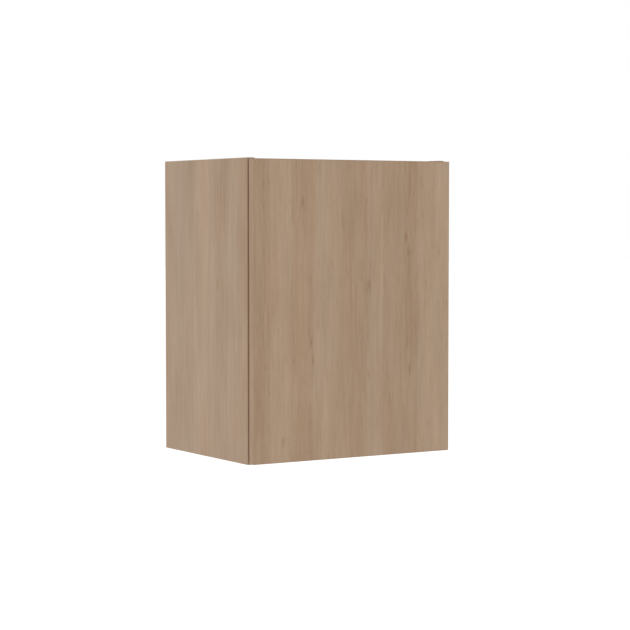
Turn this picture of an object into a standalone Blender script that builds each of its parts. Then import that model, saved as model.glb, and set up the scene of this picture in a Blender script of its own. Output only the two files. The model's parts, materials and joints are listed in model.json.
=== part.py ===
"""Hanging wall cabinet with one full-overlay door and no handle.

Frame: metres, +Z up, front of the cabinet towards -Y. The origin lies in the plane of the wall,
half-way along the width, level with the underside of the cabinet.

The carcass is four 16 mm boards with edge bands on their front edges, a thin back in grooves and one
loose shelf on pins. Two hangers in the upper rear corners hook over a rail on the wall. The door turns
on two single-pivot cup hinges, and a push latch opens it.
"""
import math

import bmesh
import bpy
from mathutils import Matrix, Vector

# ---- Overall sizes -------------------------------------------------------------------------------
WIDTH = 0.450
HEIGHT = 0.576
DEPTH = 0.350

# ---- Boards --------------------------------------------------------------------------------------
BOARD = 0.016
DOOR_BOARD = 0.018
BAND = 0.001                # edge band of a board
SEAT = 0.0003               # clearance between pieces that touch
OVERCUT = 0.001             # a cutter reaches this far past the surface that it cuts
TOP_DROP = 0.003            # the top board lies this far below the ends of the sides
BACK_BOARD = 0.003
BACK_INSET = 0.018          # from the wall to the back board, room for the wall rail
GROOVE_DEPTH = 0.008
GROOVE_END_PLAY = 0.0005    # the back board stops this far from the bottom of its grooves
SCREW_BITE = 0.010          # a screw goes this far into a board
SCREW_HOLE_DEPTH = 0.012

# ---- Door ----------------------------------------------------------------------------------------
DOOR_GAP = 0.003            # between the carcass and the back of the door
DOOR_SIDE_REVEAL = 0.0015
DOOR_END_REVEAL = 0.002

# ---- Shelf and the rows of holes for its pins ----------------------------------------------------
PITCH = 0.032
ROW_SETBACK = 0.037         # from the front of the carcass to the first row of holes
ROW_SPACING = 0.224
ROW_REACH = 2               # holes above and below the middle one
PIN_RADIUS = 0.0024
PIN_DEPTH = 0.009
PIN_STAND = 0.007
PIN_COLLAR_RADIUS = PIN_RADIUS + 0.0016
PIN_COLLAR = 0.0012
PIN_HOLE_DEPTH = 0.010
SHELF_SETBACK = 0.020
SHELF_SIDE_CLEARANCE = PIN_COLLAR + SEAT
SHELF_BACK_CLEARANCE = 0.0020

# ---- Hinges. Hinge coordinates: u runs inwards from the outer face of the right side, -----------
# ---- and v runs forwards from the front of the carcass. ------------------------------------------
HINGE_INSET = 0.096         # from the ends of the cabinet to the middle of a hinge
PIVOT_U = 0.0088
PIVOT_V = 0.0120
CUP_RADIUS = 0.0175
CUP_EDGE = 0.003            # from the edge of the door to the cup
CUP_DEPTH = 0.0124
CUP_WALL = 0.0008
CUP_RIM = 0.0011            # the rim stands behind the door by this much
FLANGE = 0.0010
FLANGE_WIDTH = 0.014
CUP_SCREW_SPACING = 2 * (CUP_RADIUS + 0.005)
FLANGE_LENGTH = CUP_SCREW_SPACING + 0.009
HINGE_PIN_RADIUS = 0.0012
HINGE_PIN_LENGTH = 0.0161
PIN_BORE_LENGTH = HINGE_PIN_LENGTH + 0.0009
EYE_RADIUS = 0.0023
EYE_LENGTH = 0.0100
LUG_GAP = 0.0004
LUG_THICKNESS = 0.0026
LUG_REACH = 0.0027          # a lug goes this far behind and inside the pivot
LUG_WALL = 0.0007           # steel between the bore and the outer side of a lug
NECK = 0.0016               # thickness of the arm's neck
NECK_U = BOARD + 0.0045     # the neck leaves the cup along this line
NECK_START = 0.85 * EYE_RADIUS      # from the pivot, inside the wall of the eye
NECK_NARROWER = 0.0002      # the neck is this much narrower than the eye
NECK_BEND_RADIUS = 0.0022
NECK_STEP_BACK = (0.006, 0.013)     # the neck steps inwards between these, behind the front
NECK_END_BACK = 0.030
PLATE = 0.0020
PLATE_LENGTH = 0.044
PLATE_WIDTH = 0.014
RAIL_WIDTH = 0.0124
RAIL_AHEAD = 0.017          # from the row of screws to the front end of the rail
RAIL_BEHIND = 0.019
RAIL_TOP = BOARD + SEAT + 0.0092
ARM_PLAY = 0.0005           # between the arm and the rail inside it
ARM_WEB = 0.0020
ARM_U = RAIL_TOP + ARM_PLAY + ARM_WEB / 2
ARM_WALL = 0.0013
ARM_LEDGE = 0.0003          # the web stands out past the walls by this much
ARM_WIDTH = RAIL_WIDTH + 2 * (ARM_PLAY + ARM_WALL + ARM_LEDGE)
WEB_FRONT_BACK = 0.0165     # the web starts this far behind the front
WALL_FRONT_BACK = 0.0190
WALL_REAR_SHORT = 0.004     # the walls end this far before the web does
WALL_INTO_WEB = 0.0015
ARM_BACK = 0.062            # from the front of the carcass to the rear end of the arm
ARM_SCREW_BACK = 0.048
ADJUST_SCREW_BACK = 0.026
HINGE_SCREW_RADIUS = 0.0020
ARM_SCREW = (0.0085, 0.0040, 0.0020)        # length, radius and height of its head
ARM_SCREW_BORE = 0.007
PLATE_SCREW_HEAD = (0.0036, 0.0018)         # radius and height
ADJUST_SCREW_RADIUS = 0.0015
ADJUST_SCREW_HEAD = (0.0026, 0.0040)
CUP_SCREW_RADIUS = 0.0016
CUP_SCREW_LENGTH = 0.0120
CUP_SCREW_HEAD = (0.0032, 0.0014)
CUP_SCREW_HOLE_DEPTH = 0.0115

# ---- Hangers -------------------------------------------------------------------------------------
HANGER_WIDTH = 0.017
HANGER_HEIGHT = 0.058
HANGER_DEPTH = 0.036
HOOK_THICKNESS = 0.003
HOOK_TIP_GAP = 0.0025       # from the wall to the hook
HOOK_THROAT = 0.010
HOOK_LIP = 0.003
HOOK_LIP_DROP = 0.014       # the lip hangs this far below the neck
HOOK_NECK = 0.008           # height of the neck
HOOK_PLAY = 0.002           # between the hook and the ends of its slot
HOOK_SIDE_PLAY = 0.001
SLOT_DROPS = (0.014, 0.046) # from the top of the case to the ends of the slot
SLOT_DEPTH = 0.022
HANGER_SCREW_RADIUS = 0.002
HANGER_SCREW_HEAD = (0.0038, 0.0020)
HANGER_SCREW_SETBACK = 0.007        # from the front of the case
HANGER_SCREW_INSET = 0.010          # from its top and bottom
ADJUSTER_DROPS = {"height": 0.022, "depth": 0.038}
ADJUSTER_SHANK = (0.0022, 0.0008)   # radius and length
ADJUSTER_HEAD = (0.0030, 0.0068)
ADJUSTER_BORE = (0.0090, 0.0033)    # depth and radius
ADJUSTER_SUNK = 0.0075      # from the front of the case to the underside of the head
COVER_WALL = 0.0012
COVER_PLAY = 0.0005
COVER_SCREW_ROOM = HANGER_SCREW_HEAD[1] + 0.0006
COVER_OPEN = 0.002          # the cutter of the cover's hollow runs out this far
NOTCH_SIDE_PLAY = 0.003     # between a hanger's cover and the notch in the back board
NOTCH_LOWER_PLAY = 0.004

# ---- Push latch ----------------------------------------------------------------------------------
LATCH_STEPS = 4             # hole pitches from the middle of the cabinet down to the latch
LATCH_RADIUS = 0.007
LATCH_LENGTH = 0.068
LATCH_STANDOFF = 0.0085     # from the side to the plunger's axis
LATCH_NOSE_BACK = 0.002     # behind the front of the carcass
LATCH_RIB = 0.009           # width of the rib between barrel and foot
LATCH_RIB_SHORT = 0.004     # the rib stops this far from both ends of the barrel
PLUNGER_RADIUS = 0.0040
PLUNGER_LENGTH = 0.044
PLUNGER_BORE_EXTRA = 0.006
MAGNET_CHAMFER = 0.0005
MAGNET_LENGTH = 0.0047
STRIKER_RADIUS = 0.007
STRIKER = 0.0012
STRIKER_CHAMFER = 0.0004

# ---- Derived places ------------------------------------------------------------------------------
CARCASS_DEPTH = DEPTH - DOOR_BOARD - DOOR_GAP
HALF = WIDTH / 2
INNER = HALF - BOARD
FRONT = -CARCASS_DEPTH
BOARD_FRONT = FRONT + BAND + SEAT
TOP_UPPER = HEIGHT - TOP_DROP
TOP_LOWER = TOP_UPPER - BOARD
BACK_FRONT = -(BACK_INSET + BACK_BOARD)
ROW_Y = (FRONT + ROW_SETBACK, FRONT + ROW_SETBACK + ROW_SPACING)
MIDDLE = HEIGHT / 2
LATCH_HEIGHT = MIDDLE - LATCH_STEPS * PITCH
SHELF_LOWER = MIDDLE + PIN_RADIUS + SEAT
DOOR_HALF = HALF - DOOR_SIDE_REVEAL
DOOR_BACK = FRONT - DOOR_GAP
CUP_U = DOOR_SIDE_REVEAL + CUP_EDGE + CUP_RADIUS
HINGE_HEIGHTS = {"lower": HINGE_INSET, "upper": HEIGHT - HINGE_INSET}

PALETTE = {
    "melamine": ((0.402, 0.296, 0.215), 0.55, 0.0),
    "edge_band": ((0.380, 0.275, 0.195), 0.50, 0.0),
    "hardboard": ((0.360, 0.270, 0.195), 0.70, 0.0),
    "nickel_steel": ((0.640, 0.620, 0.590), 0.30, 1.0),
    "zinc_steel": ((0.550, 0.560, 0.570), 0.40, 1.0),
    "grey_plastic": ((0.420, 0.420, 0.410), 0.50, 0.0),
    "white_plastic": ((0.800, 0.790, 0.760), 0.45, 0.0),
    "magnet": ((0.120, 0.120, 0.125), 0.35, 1.0),
}


# ---- Building blocks -----------------------------------------------------------------------------
def clear_scene():
    for thing in list(bpy.data.objects):
        bpy.data.objects.remove(thing, do_unlink=True)


def material(node, finish):
    colour, roughness, metallic = PALETTE[finish]
    made = bpy.data.materials.new(f"{finish}_{node}")
    made.use_nodes = True
    shader = made.node_tree.nodes["Principled BSDF"]
    shader.inputs["Base Color"].default_value = (*colour, 1.0)
    shader.inputs["Roughness"].default_value = roughness
    shader.inputs["Metallic"].default_value = metallic
    return made


def empty(name, place):
    axis = bpy.data.objects.new(name, None)
    axis.location = place
    bpy.context.scene.collection.objects.link(axis)
    return axis


def add(name, shape, place, finish=None, parent=None):
    """Turn a bmesh built round its own origin into an object at a place in the cabinet."""
    bmesh.ops.recalc_face_normals(shape, faces=shape.faces)
    mesh = bpy.data.meshes.new(name)
    shape.to_mesh(mesh)
    shape.free()
    thing = bpy.data.objects.new(name, mesh)
    bpy.context.scene.collection.objects.link(thing)
    thing.location = Vector(place)
    if parent:
        thing.parent = parent
        thing.location = Vector(place) - parent.location
    if finish:
        mesh.materials.append(material(name, finish))
    else:
        thing.hide_render = True
        thing.display_type = "WIRE"
    return thing


def block(shape, low, high):
    """Add a box between two corners to a bmesh."""
    size = [b - a for a, b in zip(low, high)]
    middle = [(a + b) / 2 for a, b in zip(low, high)]
    spot = Matrix.Translation(middle) @ Matrix.Diagonal((*size, 1.0))
    bmesh.ops.create_cube(shape, size=1.0, matrix=spot)


def box(name, low, high, finish=None, parent=None):
    """A box between any two opposite corners."""
    least = Vector([min(a, b) for a, b in zip(low, high)])
    most = Vector([max(a, b) for a, b in zip(low, high)])
    middle = (least + most) / 2
    shape = bmesh.new()
    block(shape, least - middle, most - middle)
    return add(name, shape, middle, finish, parent)


def turn_to(axis):
    """Rotation that takes +Z to an axis."""
    return Vector((0, 0, 1)).rotation_difference(Vector(axis)).to_matrix().to_4x4()


def rod(shape, start, axis, length, radius, sides):
    """Add a cylinder that runs from a start point along an axis to a bmesh."""
    spot = Matrix.Translation(Vector(start) + Vector(axis) * length / 2) @ turn_to(axis)
    bmesh.ops.create_cone(shape, cap_ends=True, segments=sides, radius1=radius, radius2=radius,
                          depth=length, matrix=spot)


def turned(name, start, axis, profile, finish, parent=None, sides=16):
    """Revolve a profile of (radius, distance) pairs, on the axis at both ends, about an axis."""
    shape = bmesh.new()
    rings = []
    for radius, distance in profile:
        if radius == 0:
            rings.append([shape.verts.new((0, 0, distance))])
            continue
        angles = [2 * math.pi * k / sides for k in range(sides)]
        rings.append([shape.verts.new((radius * math.cos(a), radius * math.sin(a), distance))
                      for a in angles])
    for near, far in zip(rings, rings[1:]):
        for k in range(sides):
            corners = [near[k % len(near)], near[(k + 1) % len(near)],
                       far[(k + 1) % len(far)], far[k % len(far)]]
            shape.faces.new(list(dict.fromkeys(corners)))
    bmesh.ops.transform(shape, matrix=turn_to(axis), verts=shape.verts)
    thing = add(name, shape, start, finish, parent)
    thing.data.shade_smooth()
    thing.data.set_sharp_from_angle(angle=math.radians(35))
    return thing


def prism(name, outline, low, high, to_space, finish=None, parent=None):
    """Extrude a flat outline from low to high; to_space gives a point for (p, q, height)."""
    shape = bmesh.new()
    near = [shape.verts.new(to_space(p, q, low)) for p, q in outline]
    far = [shape.verts.new(to_space(p, q, high)) for p, q in outline]
    shape.faces.new(near)
    shape.faces.new(far[::-1])
    count = len(outline)
    for k in range(count):
        shape.faces.new((near[k], near[(k + 1) % count], far[(k + 1) % count], far[k]))
    middle = sum((v.co for v in shape.verts), Vector()) / len(shape.verts)
    bmesh.ops.translate(shape, verts=shape.verts, vec=-middle)
    return add(name, shape, middle, finish, parent)


def combine(target, tool, operation):
    step = target.modifiers.new(operation.lower(), "BOOLEAN")
    step.operation = operation
    step.solver = "EXACT"
    step.object = tool


def drill(target, name, holes, parent=None):
    """Cut round holes: each is (start on the surface, axis into the piece, depth, radius, sides)."""
    shape = bmesh.new()
    for start, axis, depth, radius, sides in holes:
        mouth = Vector(start) - Vector(axis) * OVERCUT
        rod(shape, mouth, axis, depth + OVERCUT, radius, sides)
    place = parent.location if parent else Vector()
    bmesh.ops.translate(shape, verts=shape.verts, vec=-Vector(place))
    combine(target, add(name, shape, place, None, parent), "DIFFERENCE")


def rounded_path(points, radius, steps):
    """A polyline with its inner corners turned into arcs."""
    path = [Vector(points[0])]
    for before, corner, after in zip(points, points[1:], points[2:]):
        before, corner, after = Vector(before), Vector(corner), Vector(after)
        back, ahead = (before - corner).normalized(), (after - corner).normalized()
        half = math.acos(max(-1.0, min(1.0, back.dot(ahead)))) / 2
        reach = radius / math.tan(half)
        centre = corner + (back + ahead).normalized() * radius / math.sin(half)
        first, last = corner + back * reach, corner + ahead * reach
        sweep = math.pi - 2 * half
        side = 1 if (first - centre).cross(last - centre) > 0 else -1
        for k in range(steps + 1):
            angle = side * sweep * k / steps
            path.append(centre + Matrix.Rotation(angle, 2) @ (first - centre))
    path.append(Vector(points[-1]))
    return path


def strip(path, thickness):
    """Outline of a bent strip: the path moved to both sides by half the thickness."""
    left, right = [], []
    for k, point in enumerate(path):
        along = (path[min(k + 1, len(path) - 1)] - path[max(k - 1, 0)]).normalized()
        across = Vector((-along.y, along.x)) * thickness / 2
        left.append(point + across)
        right.append(point - across)
    return left + right[::-1]


# ---- Carcass -------------------------------------------------------------------------------------
def row_heights():
    return [MIDDLE + k * PITCH for k in range(-ROW_REACH, ROW_REACH + 1)]


def side_holes(side):
    """Blind holes on the inner face of a side, for the shelf pins and every screw in it."""
    inwards = (side, 0, 0)
    face = side * INNER
    pin_hole = PIN_RADIUS + SEAT
    holes = [((face, y, z), inwards, PIN_HOLE_DEPTH, pin_hole, 10) for y in ROW_Y for z in row_heights()]
    screw_hole = HINGE_SCREW_RADIUS + SEAT
    middles = HINGE_HEIGHTS.values() if side > 0 else [LATCH_HEIGHT]
    for middle in middles:
        for offset in (-PITCH / 2, PITCH / 2):
            holes.append(((face, ROW_Y[0], middle + offset), inwards, SCREW_HOLE_DEPTH, screw_hole, 10))
    for place in hanger_screw_places(side):
        holes.append(((face, place.y, place.z), inwards, SCREW_HOLE_DEPTH,
                      HANGER_SCREW_RADIUS + SEAT, 10))
    return holes


def carcass():
    groove = (-(BACK_INSET - SEAT), BACK_FRONT - SEAT)
    for word, side in (("left", -1), ("right", 1)):
        board = box(f"side_panel_{word}", (side * INNER, BOARD_FRONT, 0), (side * HALF, 0, HEIGHT),
                    "melamine")
        cutter = box(f"groove_{word}", (side * (INNER - OVERCUT), groove[0], -OVERCUT),
                     (side * (INNER + GROOVE_DEPTH), groove[1], HEIGHT + OVERCUT))
        combine(board, cutter, "DIFFERENCE")
        drill(board, f"holes_{word}", side_holes(side))
        box(f"edge_band_{word}", (side * INNER, FRONT, 0), (side * HALF, FRONT + BAND, HEIGHT), "edge_band")

    reach = INNER - SEAT
    levels = {"top": (TOP_LOWER, TOP_UPPER), "bottom": (0, BOARD)}
    for word, (low, high) in levels.items():
        board = box(f"{word}_panel", (-reach, BOARD_FRONT, low), (reach, 0, high), "melamine")
        inside, into = (low, 1) if word == "top" else (high, -1)
        cutter = box(f"groove_{word}", (-HALF, groove[0], inside - into * OVERCUT),
                     (HALF, groove[1], inside + into * GROOVE_DEPTH))
        combine(board, cutter, "DIFFERENCE")
        box(f"edge_band_{word}", (-reach, FRONT, low), (reach, FRONT + BAND, high), "edge_band")


def back():
    """The back board, with its upper corners cut away for the hangers."""
    in_groove = GROOVE_DEPTH - GROOVE_END_PLAY
    reach = INNER + in_groove
    low, high = BOARD - in_groove, TOP_LOWER + in_groove
    notch_x = INNER - HANGER_WIDTH - COVER_WALL - NOTCH_SIDE_PLAY
    notch_z = TOP_LOWER - HANGER_HEIGHT - NOTCH_LOWER_PLAY
    outline = [(-reach, low), (reach, low), (reach, notch_z), (notch_x, notch_z), (notch_x, high),
               (-notch_x, high), (-notch_x, notch_z), (-reach, notch_z)]
    prism("back_panel", outline, BACK_FRONT, -BACK_INSET, lambda x, z, y: (x, y, z), "hardboard")


def shelf():
    reach = INNER - SHELF_SIDE_CLEARANCE
    front = FRONT + SHELF_SETBACK
    high = SHELF_LOWER + BOARD
    box("shelf", (-reach, front + BAND + SEAT, SHELF_LOWER),
        (reach, BACK_FRONT - SHELF_BACK_CLEARANCE, high), "melamine")
    box("edge_band_shelf", (-reach, front, SHELF_LOWER), (reach, front + BAND, high), "edge_band")
    profile = [(0, -PIN_DEPTH), (PIN_RADIUS, -PIN_DEPTH), (PIN_RADIUS, SEAT),
               (PIN_COLLAR_RADIUS, SEAT), (PIN_COLLAR_RADIUS, PIN_COLLAR), (PIN_RADIUS, PIN_COLLAR),
               (PIN_RADIUS, PIN_STAND), (0, PIN_STAND)]
    number = 0
    for side in (-1, 1):
        for y in ROW_Y:
            number += 1
            turned(f"shelf_pin_{number}", (side * INNER, y, MIDDLE), (-side, 0, 0), profile,
                   "nickel_steel", sides=12)


# ---- Hangers -------------------------------------------------------------------------------------
def hanger_top():
    return TOP_LOWER - SEAT


def hanger_screw_places(side):
    """Where the screws of a hanger go into the side: near its front, above and below the hook."""
    y = BACK_FRONT - SEAT - HANGER_DEPTH + HANGER_SCREW_SETBACK
    drops = (HANGER_SCREW_INSET, HANGER_HEIGHT - HANGER_SCREW_INSET)
    return [Vector((side * INNER, y, hanger_top() - drop)) for drop in drops]


def screw(name, start, axis, shank, length, head, head_height, finish, parent=None):
    """A screw with a domed head and a drive recess; start is under the head, axis leaves the piece."""
    rim, floor = head_height * 0.55, head_height * 0.35
    profile = [(0, -length), (shank * 0.35, -length), (shank, -length + shank), (shank, 0), (head, 0),
               (head, rim), (head * 0.6, head_height), (head * 0.35, head_height),
               (head * 0.25, floor), (0, floor)]
    return turned(name, start, axis, profile, finish, parent, sides=12)


def hanger(word, side):
    def at(a, y, z):
        return (side * (INNER - a), y, z)

    rear = BACK_FRONT - SEAT
    front = rear - HANGER_DEPTH
    top, low = hanger_top(), hanger_top() - HANGER_HEIGHT
    wide = SEAT + HANGER_WIDTH
    case = box(f"hanger_case_{word}", at(SEAT, rear, low), at(wide, front, top), "zinc_steel")

    slot_a = (wide + SEAT) / 2
    slot_half = HOOK_THICKNESS / 2 + HOOK_SIDE_PLAY
    slot_top, slot_low = (top - drop for drop in SLOT_DROPS)
    slot_front = rear - SLOT_DEPTH
    slot = box(f"hook_slot_{word}", at(slot_a - slot_half, rear + OVERCUT, slot_low),
               at(slot_a + slot_half, slot_front, slot_top))
    combine(case, slot, "DIFFERENCE")
    bores = []
    for place in hanger_screw_places(side):
        bores.append((at(wide, place.y, place.z), (side, 0, 0), wide, HANGER_SCREW_RADIUS + SEAT, 10))
    for drop in ADJUSTER_DROPS.values():
        bores.append((at(slot_a, front, top - drop), (0, 1, 0), *ADJUSTER_BORE, 12))
    drill(case, f"hanger_bores_{word}", bores)

    hook_rear = -HOOK_TIP_GAP
    throat_rear = hook_rear - HOOK_LIP
    throat_front = throat_rear - HOOK_THROAT
    neck_top, tail_low = slot_top - HOOK_PLAY, slot_low + HOOK_PLAY
    neck_low = neck_top - HOOK_NECK
    lip_low = neck_low - HOOK_LIP_DROP
    hook_front = slot_front + HOOK_PLAY
    outline = [(hook_front, neck_top), (hook_rear, neck_top), (hook_rear, lip_low),
               (throat_rear, lip_low), (throat_rear, neck_low), (throat_front, neck_low),
               (throat_front, tail_low), (hook_front, tail_low)]
    prism(f"hanger_hook_{word}", outline, slot_a - HOOK_THICKNESS / 2, slot_a + HOOK_THICKNESS / 2,
          lambda y, z, a: at(a, y, z), "zinc_steel")

    for number, place in enumerate(hanger_screw_places(side), 1):
        screw(f"hanger_screw_{word}_{number}", at(wide + SEAT, place.y, place.z), (-side, 0, 0),
              HANGER_SCREW_RADIUS, wide + SCREW_BITE, *HANGER_SCREW_HEAD, "zinc_steel")
    for use, drop in ADJUSTER_DROPS.items():
        screw(f"hanger_{use}_screw_{word}", at(slot_a, front + ADJUSTER_SUNK, top - drop), (0, -1, 0),
              *ADJUSTER_SHANK, *ADJUSTER_HEAD, "zinc_steel")

    inner_a = wide + SEAT + COVER_SCREW_ROOM
    inner_front, inner_low = front - COVER_PLAY, low - COVER_PLAY
    shell = box(f"hanger_cover_{word}", at(SEAT, rear, inner_low - COVER_WALL),
                at(inner_a + COVER_WALL, inner_front - COVER_WALL, top), "white_plastic")
    hollow = box(f"cover_hollow_{word}", at(-COVER_OPEN, rear + COVER_OPEN, inner_low),
                 at(inner_a, inner_front, top + COVER_OPEN))
    combine(shell, hollow, "DIFFERENCE")


# ---- Hinges --------------------------------------------------------------------------------------
def hinge_space(u, v, z):
    return (HALF - u, FRONT - v, z)


def hinge_box(name, low, high, finish=None, parent=None):
    """A box given by two corners in hinge coordinates."""
    return box(name, hinge_space(*low), hinge_space(*high), finish, parent)


def hinge_plate(word, z):
    """The plate on the side: two wings for its screws and a rail that carries the arm."""
    low = BOARD + SEAT
    plate = hinge_box(f"hinge_plate_{word}", (low, -ROW_SETBACK - PLATE_WIDTH / 2, z - PLATE_LENGTH / 2),
                      (low + PLATE, -ROW_SETBACK + PLATE_WIDTH / 2, z + PLATE_LENGTH / 2), "nickel_steel")
    rail = hinge_box(f"plate_rail_{word}", (low + PLATE / 4, -ROW_SETBACK - RAIL_BEHIND, z - RAIL_WIDTH / 2),
                     (RAIL_TOP, -ROW_SETBACK + RAIL_AHEAD, z + RAIL_WIDTH / 2))
    combine(plate, rail, "UNION")
    outwards = (1, 0, 0)
    hole = HINGE_SCREW_RADIUS + SEAT
    bores = [(hinge_space(RAIL_TOP, -ARM_SCREW_BACK, z), outwards, ARM_SCREW_BORE, hole, 12)]
    for offset in (-PITCH / 2, PITCH / 2):
        bores.append((hinge_space(low + PLATE, -ROW_SETBACK, z + offset), outwards, 2 * PLATE, hole, 12))
        screw(f"plate_screw_{word}_{'a' if offset < 0 else 'b'}",
              hinge_space(low + PLATE + SEAT, -ROW_SETBACK, z + offset), (-1, 0, 0),
              HINGE_SCREW_RADIUS, PLATE + SCREW_BITE, *PLATE_SCREW_HEAD, "nickel_steel")
    drill(plate, f"plate_bores_{word}", bores)


def hinge_arm(word, z):
    """The arm: an eye round the pivot, a neck bent round the edge of the side, and a channel."""
    half_neck = (EYE_LENGTH - NECK_NARROWER) / 2
    route = [(PIVOT_U + NECK_START, PIVOT_V), (NECK_U, PIVOT_V), (NECK_U, -NECK_STEP_BACK[0]),
             (ARM_U, -NECK_STEP_BACK[1]), (ARM_U, -NECK_END_BACK)]
    outline = strip(rounded_path(route, NECK_BEND_RADIUS, 4), NECK)
    arm = prism(f"hinge_arm_{word}", outline, z - half_neck, z + half_neck, hinge_space, "nickel_steel")
    web_low, web_high = ARM_U - ARM_WEB / 2, ARM_U + ARM_WEB / 2
    wall_low = BOARD + SEAT + PLATE + 2 * ARM_PLAY
    half = ARM_WIDTH / 2
    web = hinge_box(f"arm_web_{word}", (web_low, -ARM_BACK, z - half), (web_high, -WEB_FRONT_BACK, z + half))
    combine(arm, web, "UNION")
    for turn in (-1, 1):
        inner = z + turn * (RAIL_WIDTH / 2 + ARM_PLAY)
        wall = hinge_box(f"arm_wall_{word}_{turn}", (wall_low, -ARM_BACK + WALL_REAR_SHORT, inner),
                         (web_low + WALL_INTO_WEB, -WALL_FRONT_BACK, inner + turn * ARM_WALL))
        combine(arm, wall, "UNION")
    eye = bmesh.new()
    rod(eye, (0, 0, -EYE_LENGTH / 2), (0, 0, 1), EYE_LENGTH, EYE_RADIUS, 20)
    combine(arm, add(f"arm_eye_{word}", eye, hinge_space(PIVOT_U, PIVOT_V, z)), "UNION")
    outwards = (1, 0, 0)
    drill(arm, f"arm_bores_{word}", [
        (hinge_space(PIVOT_U, PIVOT_V, z - EYE_LENGTH / 2), (0, 0, 1), EYE_LENGTH + OVERCUT,
         HINGE_PIN_RADIUS + SEAT, 16),
        (hinge_space(web_high, -ARM_SCREW_BACK, z), outwards, 2 * ARM_WEB, HINGE_SCREW_RADIUS + SEAT, 12),
        (hinge_space(web_high, -ADJUST_SCREW_BACK, z), outwards, 2 * ARM_WEB,
         ADJUST_SCREW_HEAD[0] + SEAT, 12)])
    screw(f"arm_screw_{word}", hinge_space(web_high + SEAT, -ARM_SCREW_BACK, z), (-1, 0, 0),
          HINGE_SCREW_RADIUS, *ARM_SCREW, "nickel_steel")
    screw(f"adjust_screw_{word}", hinge_space(RAIL_TOP + 2 * SEAT, -ADJUST_SCREW_BACK, z), (-1, 0, 0),
          ADJUST_SCREW_RADIUS, SEAT, *ADJUST_SCREW_HEAD, "nickel_steel")


def hinge_cup(word, z, door_axis):
    """The cup in the door: flange, bowl and two lugs that carry the pivot pin."""
    rim_v = DOOR_GAP - CUP_RIM
    flange_v = DOOR_GAP - SEAT - FLANGE
    cup = hinge_box(f"hinge_cup_{word}", (CUP_U - FLANGE_WIDTH / 2, flange_v, z - FLANGE_LENGTH / 2),
                    (CUP_U + FLANGE_WIDTH / 2, flange_v + FLANGE, z + FLANGE_LENGTH / 2),
                    "nickel_steel", door_axis)

    def drum(name, start_v, end_v, radius):
        shape = bmesh.new()
        rod(shape, (0, 0, 0), (0, -1, 0), end_v - start_v, radius, 40)
        return add(name, shape, hinge_space(CUP_U, start_v, z), None, door_axis)

    bottom_v = DOOR_GAP + CUP_DEPTH
    combine(cup, drum(f"cup_outside_{word}", rim_v, bottom_v, CUP_RADIUS), "UNION")
    combine(cup, drum(f"cup_inside_{word}", -OVERCUT, bottom_v - CUP_WALL, CUP_RADIUS - CUP_WALL),
            "DIFFERENCE")
    lug_u = (PIVOT_U - HINGE_PIN_RADIUS - SEAT - LUG_WALL, PIVOT_U + LUG_REACH)
    for turn in (-1, 1):
        near = z + turn * (EYE_LENGTH / 2 + LUG_GAP)
        lug = hinge_box(f"cup_lug_{word}_{turn}", (lug_u[0], PIVOT_V - LUG_REACH, near),
                        (lug_u[1], bottom_v - CUP_WALL / 2, near + turn * LUG_THICKNESS), None, door_axis)
        combine(cup, lug, "UNION")
    forwards = (0, -1, 0)
    hole = CUP_SCREW_RADIUS + SEAT
    bores = [(hinge_space(PIVOT_U, PIVOT_V, z - PIN_BORE_LENGTH / 2), (0, 0, 1), PIN_BORE_LENGTH,
              HINGE_PIN_RADIUS + SEAT, 16)]
    for offset in (-CUP_SCREW_SPACING / 2, CUP_SCREW_SPACING / 2):
        bores.append((hinge_space(CUP_U, flange_v, z + offset), forwards, 2 * FLANGE, hole, 12))
        screw(f"cup_screw_{word}_{'a' if offset < 0 else 'b'}",
              hinge_space(CUP_U, flange_v - SEAT, z + offset), (0, 1, 0), CUP_SCREW_RADIUS,
              CUP_SCREW_LENGTH, *CUP_SCREW_HEAD, "nickel_steel", door_axis)
    drill(cup, f"cup_bores_{word}", bores, door_axis)
    half = HINGE_PIN_LENGTH / 2
    turned(f"hinge_pin_{word}", hinge_space(PIVOT_U, PIVOT_V, z), (0, 0, 1),
           [(0, -half), (HINGE_PIN_RADIUS, -half), (HINGE_PIN_RADIUS, half), (0, half)],
           "nickel_steel", door_axis, sides=12)


# ---- Door ----------------------------------------------------------------------------------------
def door(door_axis):
    low, high = DOOR_END_REVEAL, HEIGHT - DOOR_END_REVEAL
    back_y, front_y = DOOR_BACK, -DEPTH
    trim = BAND + SEAT
    panel = box("door_panel", (-DOOR_HALF + trim, front_y, low + trim),
                (DOOR_HALF - trim, back_y, high - trim), "melamine", door_axis)
    for word, side in (("left", -1), ("right", 1)):
        box(f"door_band_{word}", (side * DOOR_HALF, front_y, low),
            (side * (DOOR_HALF - BAND), back_y, high), "edge_band", door_axis)
    for word, edge, into in (("top", high, -1), ("bottom", low, 1)):
        box(f"door_band_{word}", (-DOOR_HALF + trim, front_y, edge),
            (DOOR_HALF - trim, back_y, edge + into * BAND), "edge_band", door_axis)
    forwards = (0, -1, 0)
    holes = []
    for z in HINGE_HEIGHTS.values():
        holes.append((hinge_space(CUP_U, DOOR_GAP, z), forwards, CUP_DEPTH + SEAT, CUP_RADIUS + SEAT, 40))
        for offset in (-CUP_SCREW_SPACING / 2, CUP_SCREW_SPACING / 2):
            holes.append((hinge_space(CUP_U, DOOR_GAP, z + offset), forwards, CUP_SCREW_HOLE_DEPTH,
                          CUP_SCREW_RADIUS + SEAT, 12))
    drill(panel, "door_holes", holes, door_axis)


# ---- Push latch ----------------------------------------------------------------------------------
def latch_space(a, v, z):
    """Latch coordinates: a inwards from the left side, v forwards from the front, z up."""
    return (-(INNER - a), FRONT - v, LATCH_HEIGHT + z)


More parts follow.
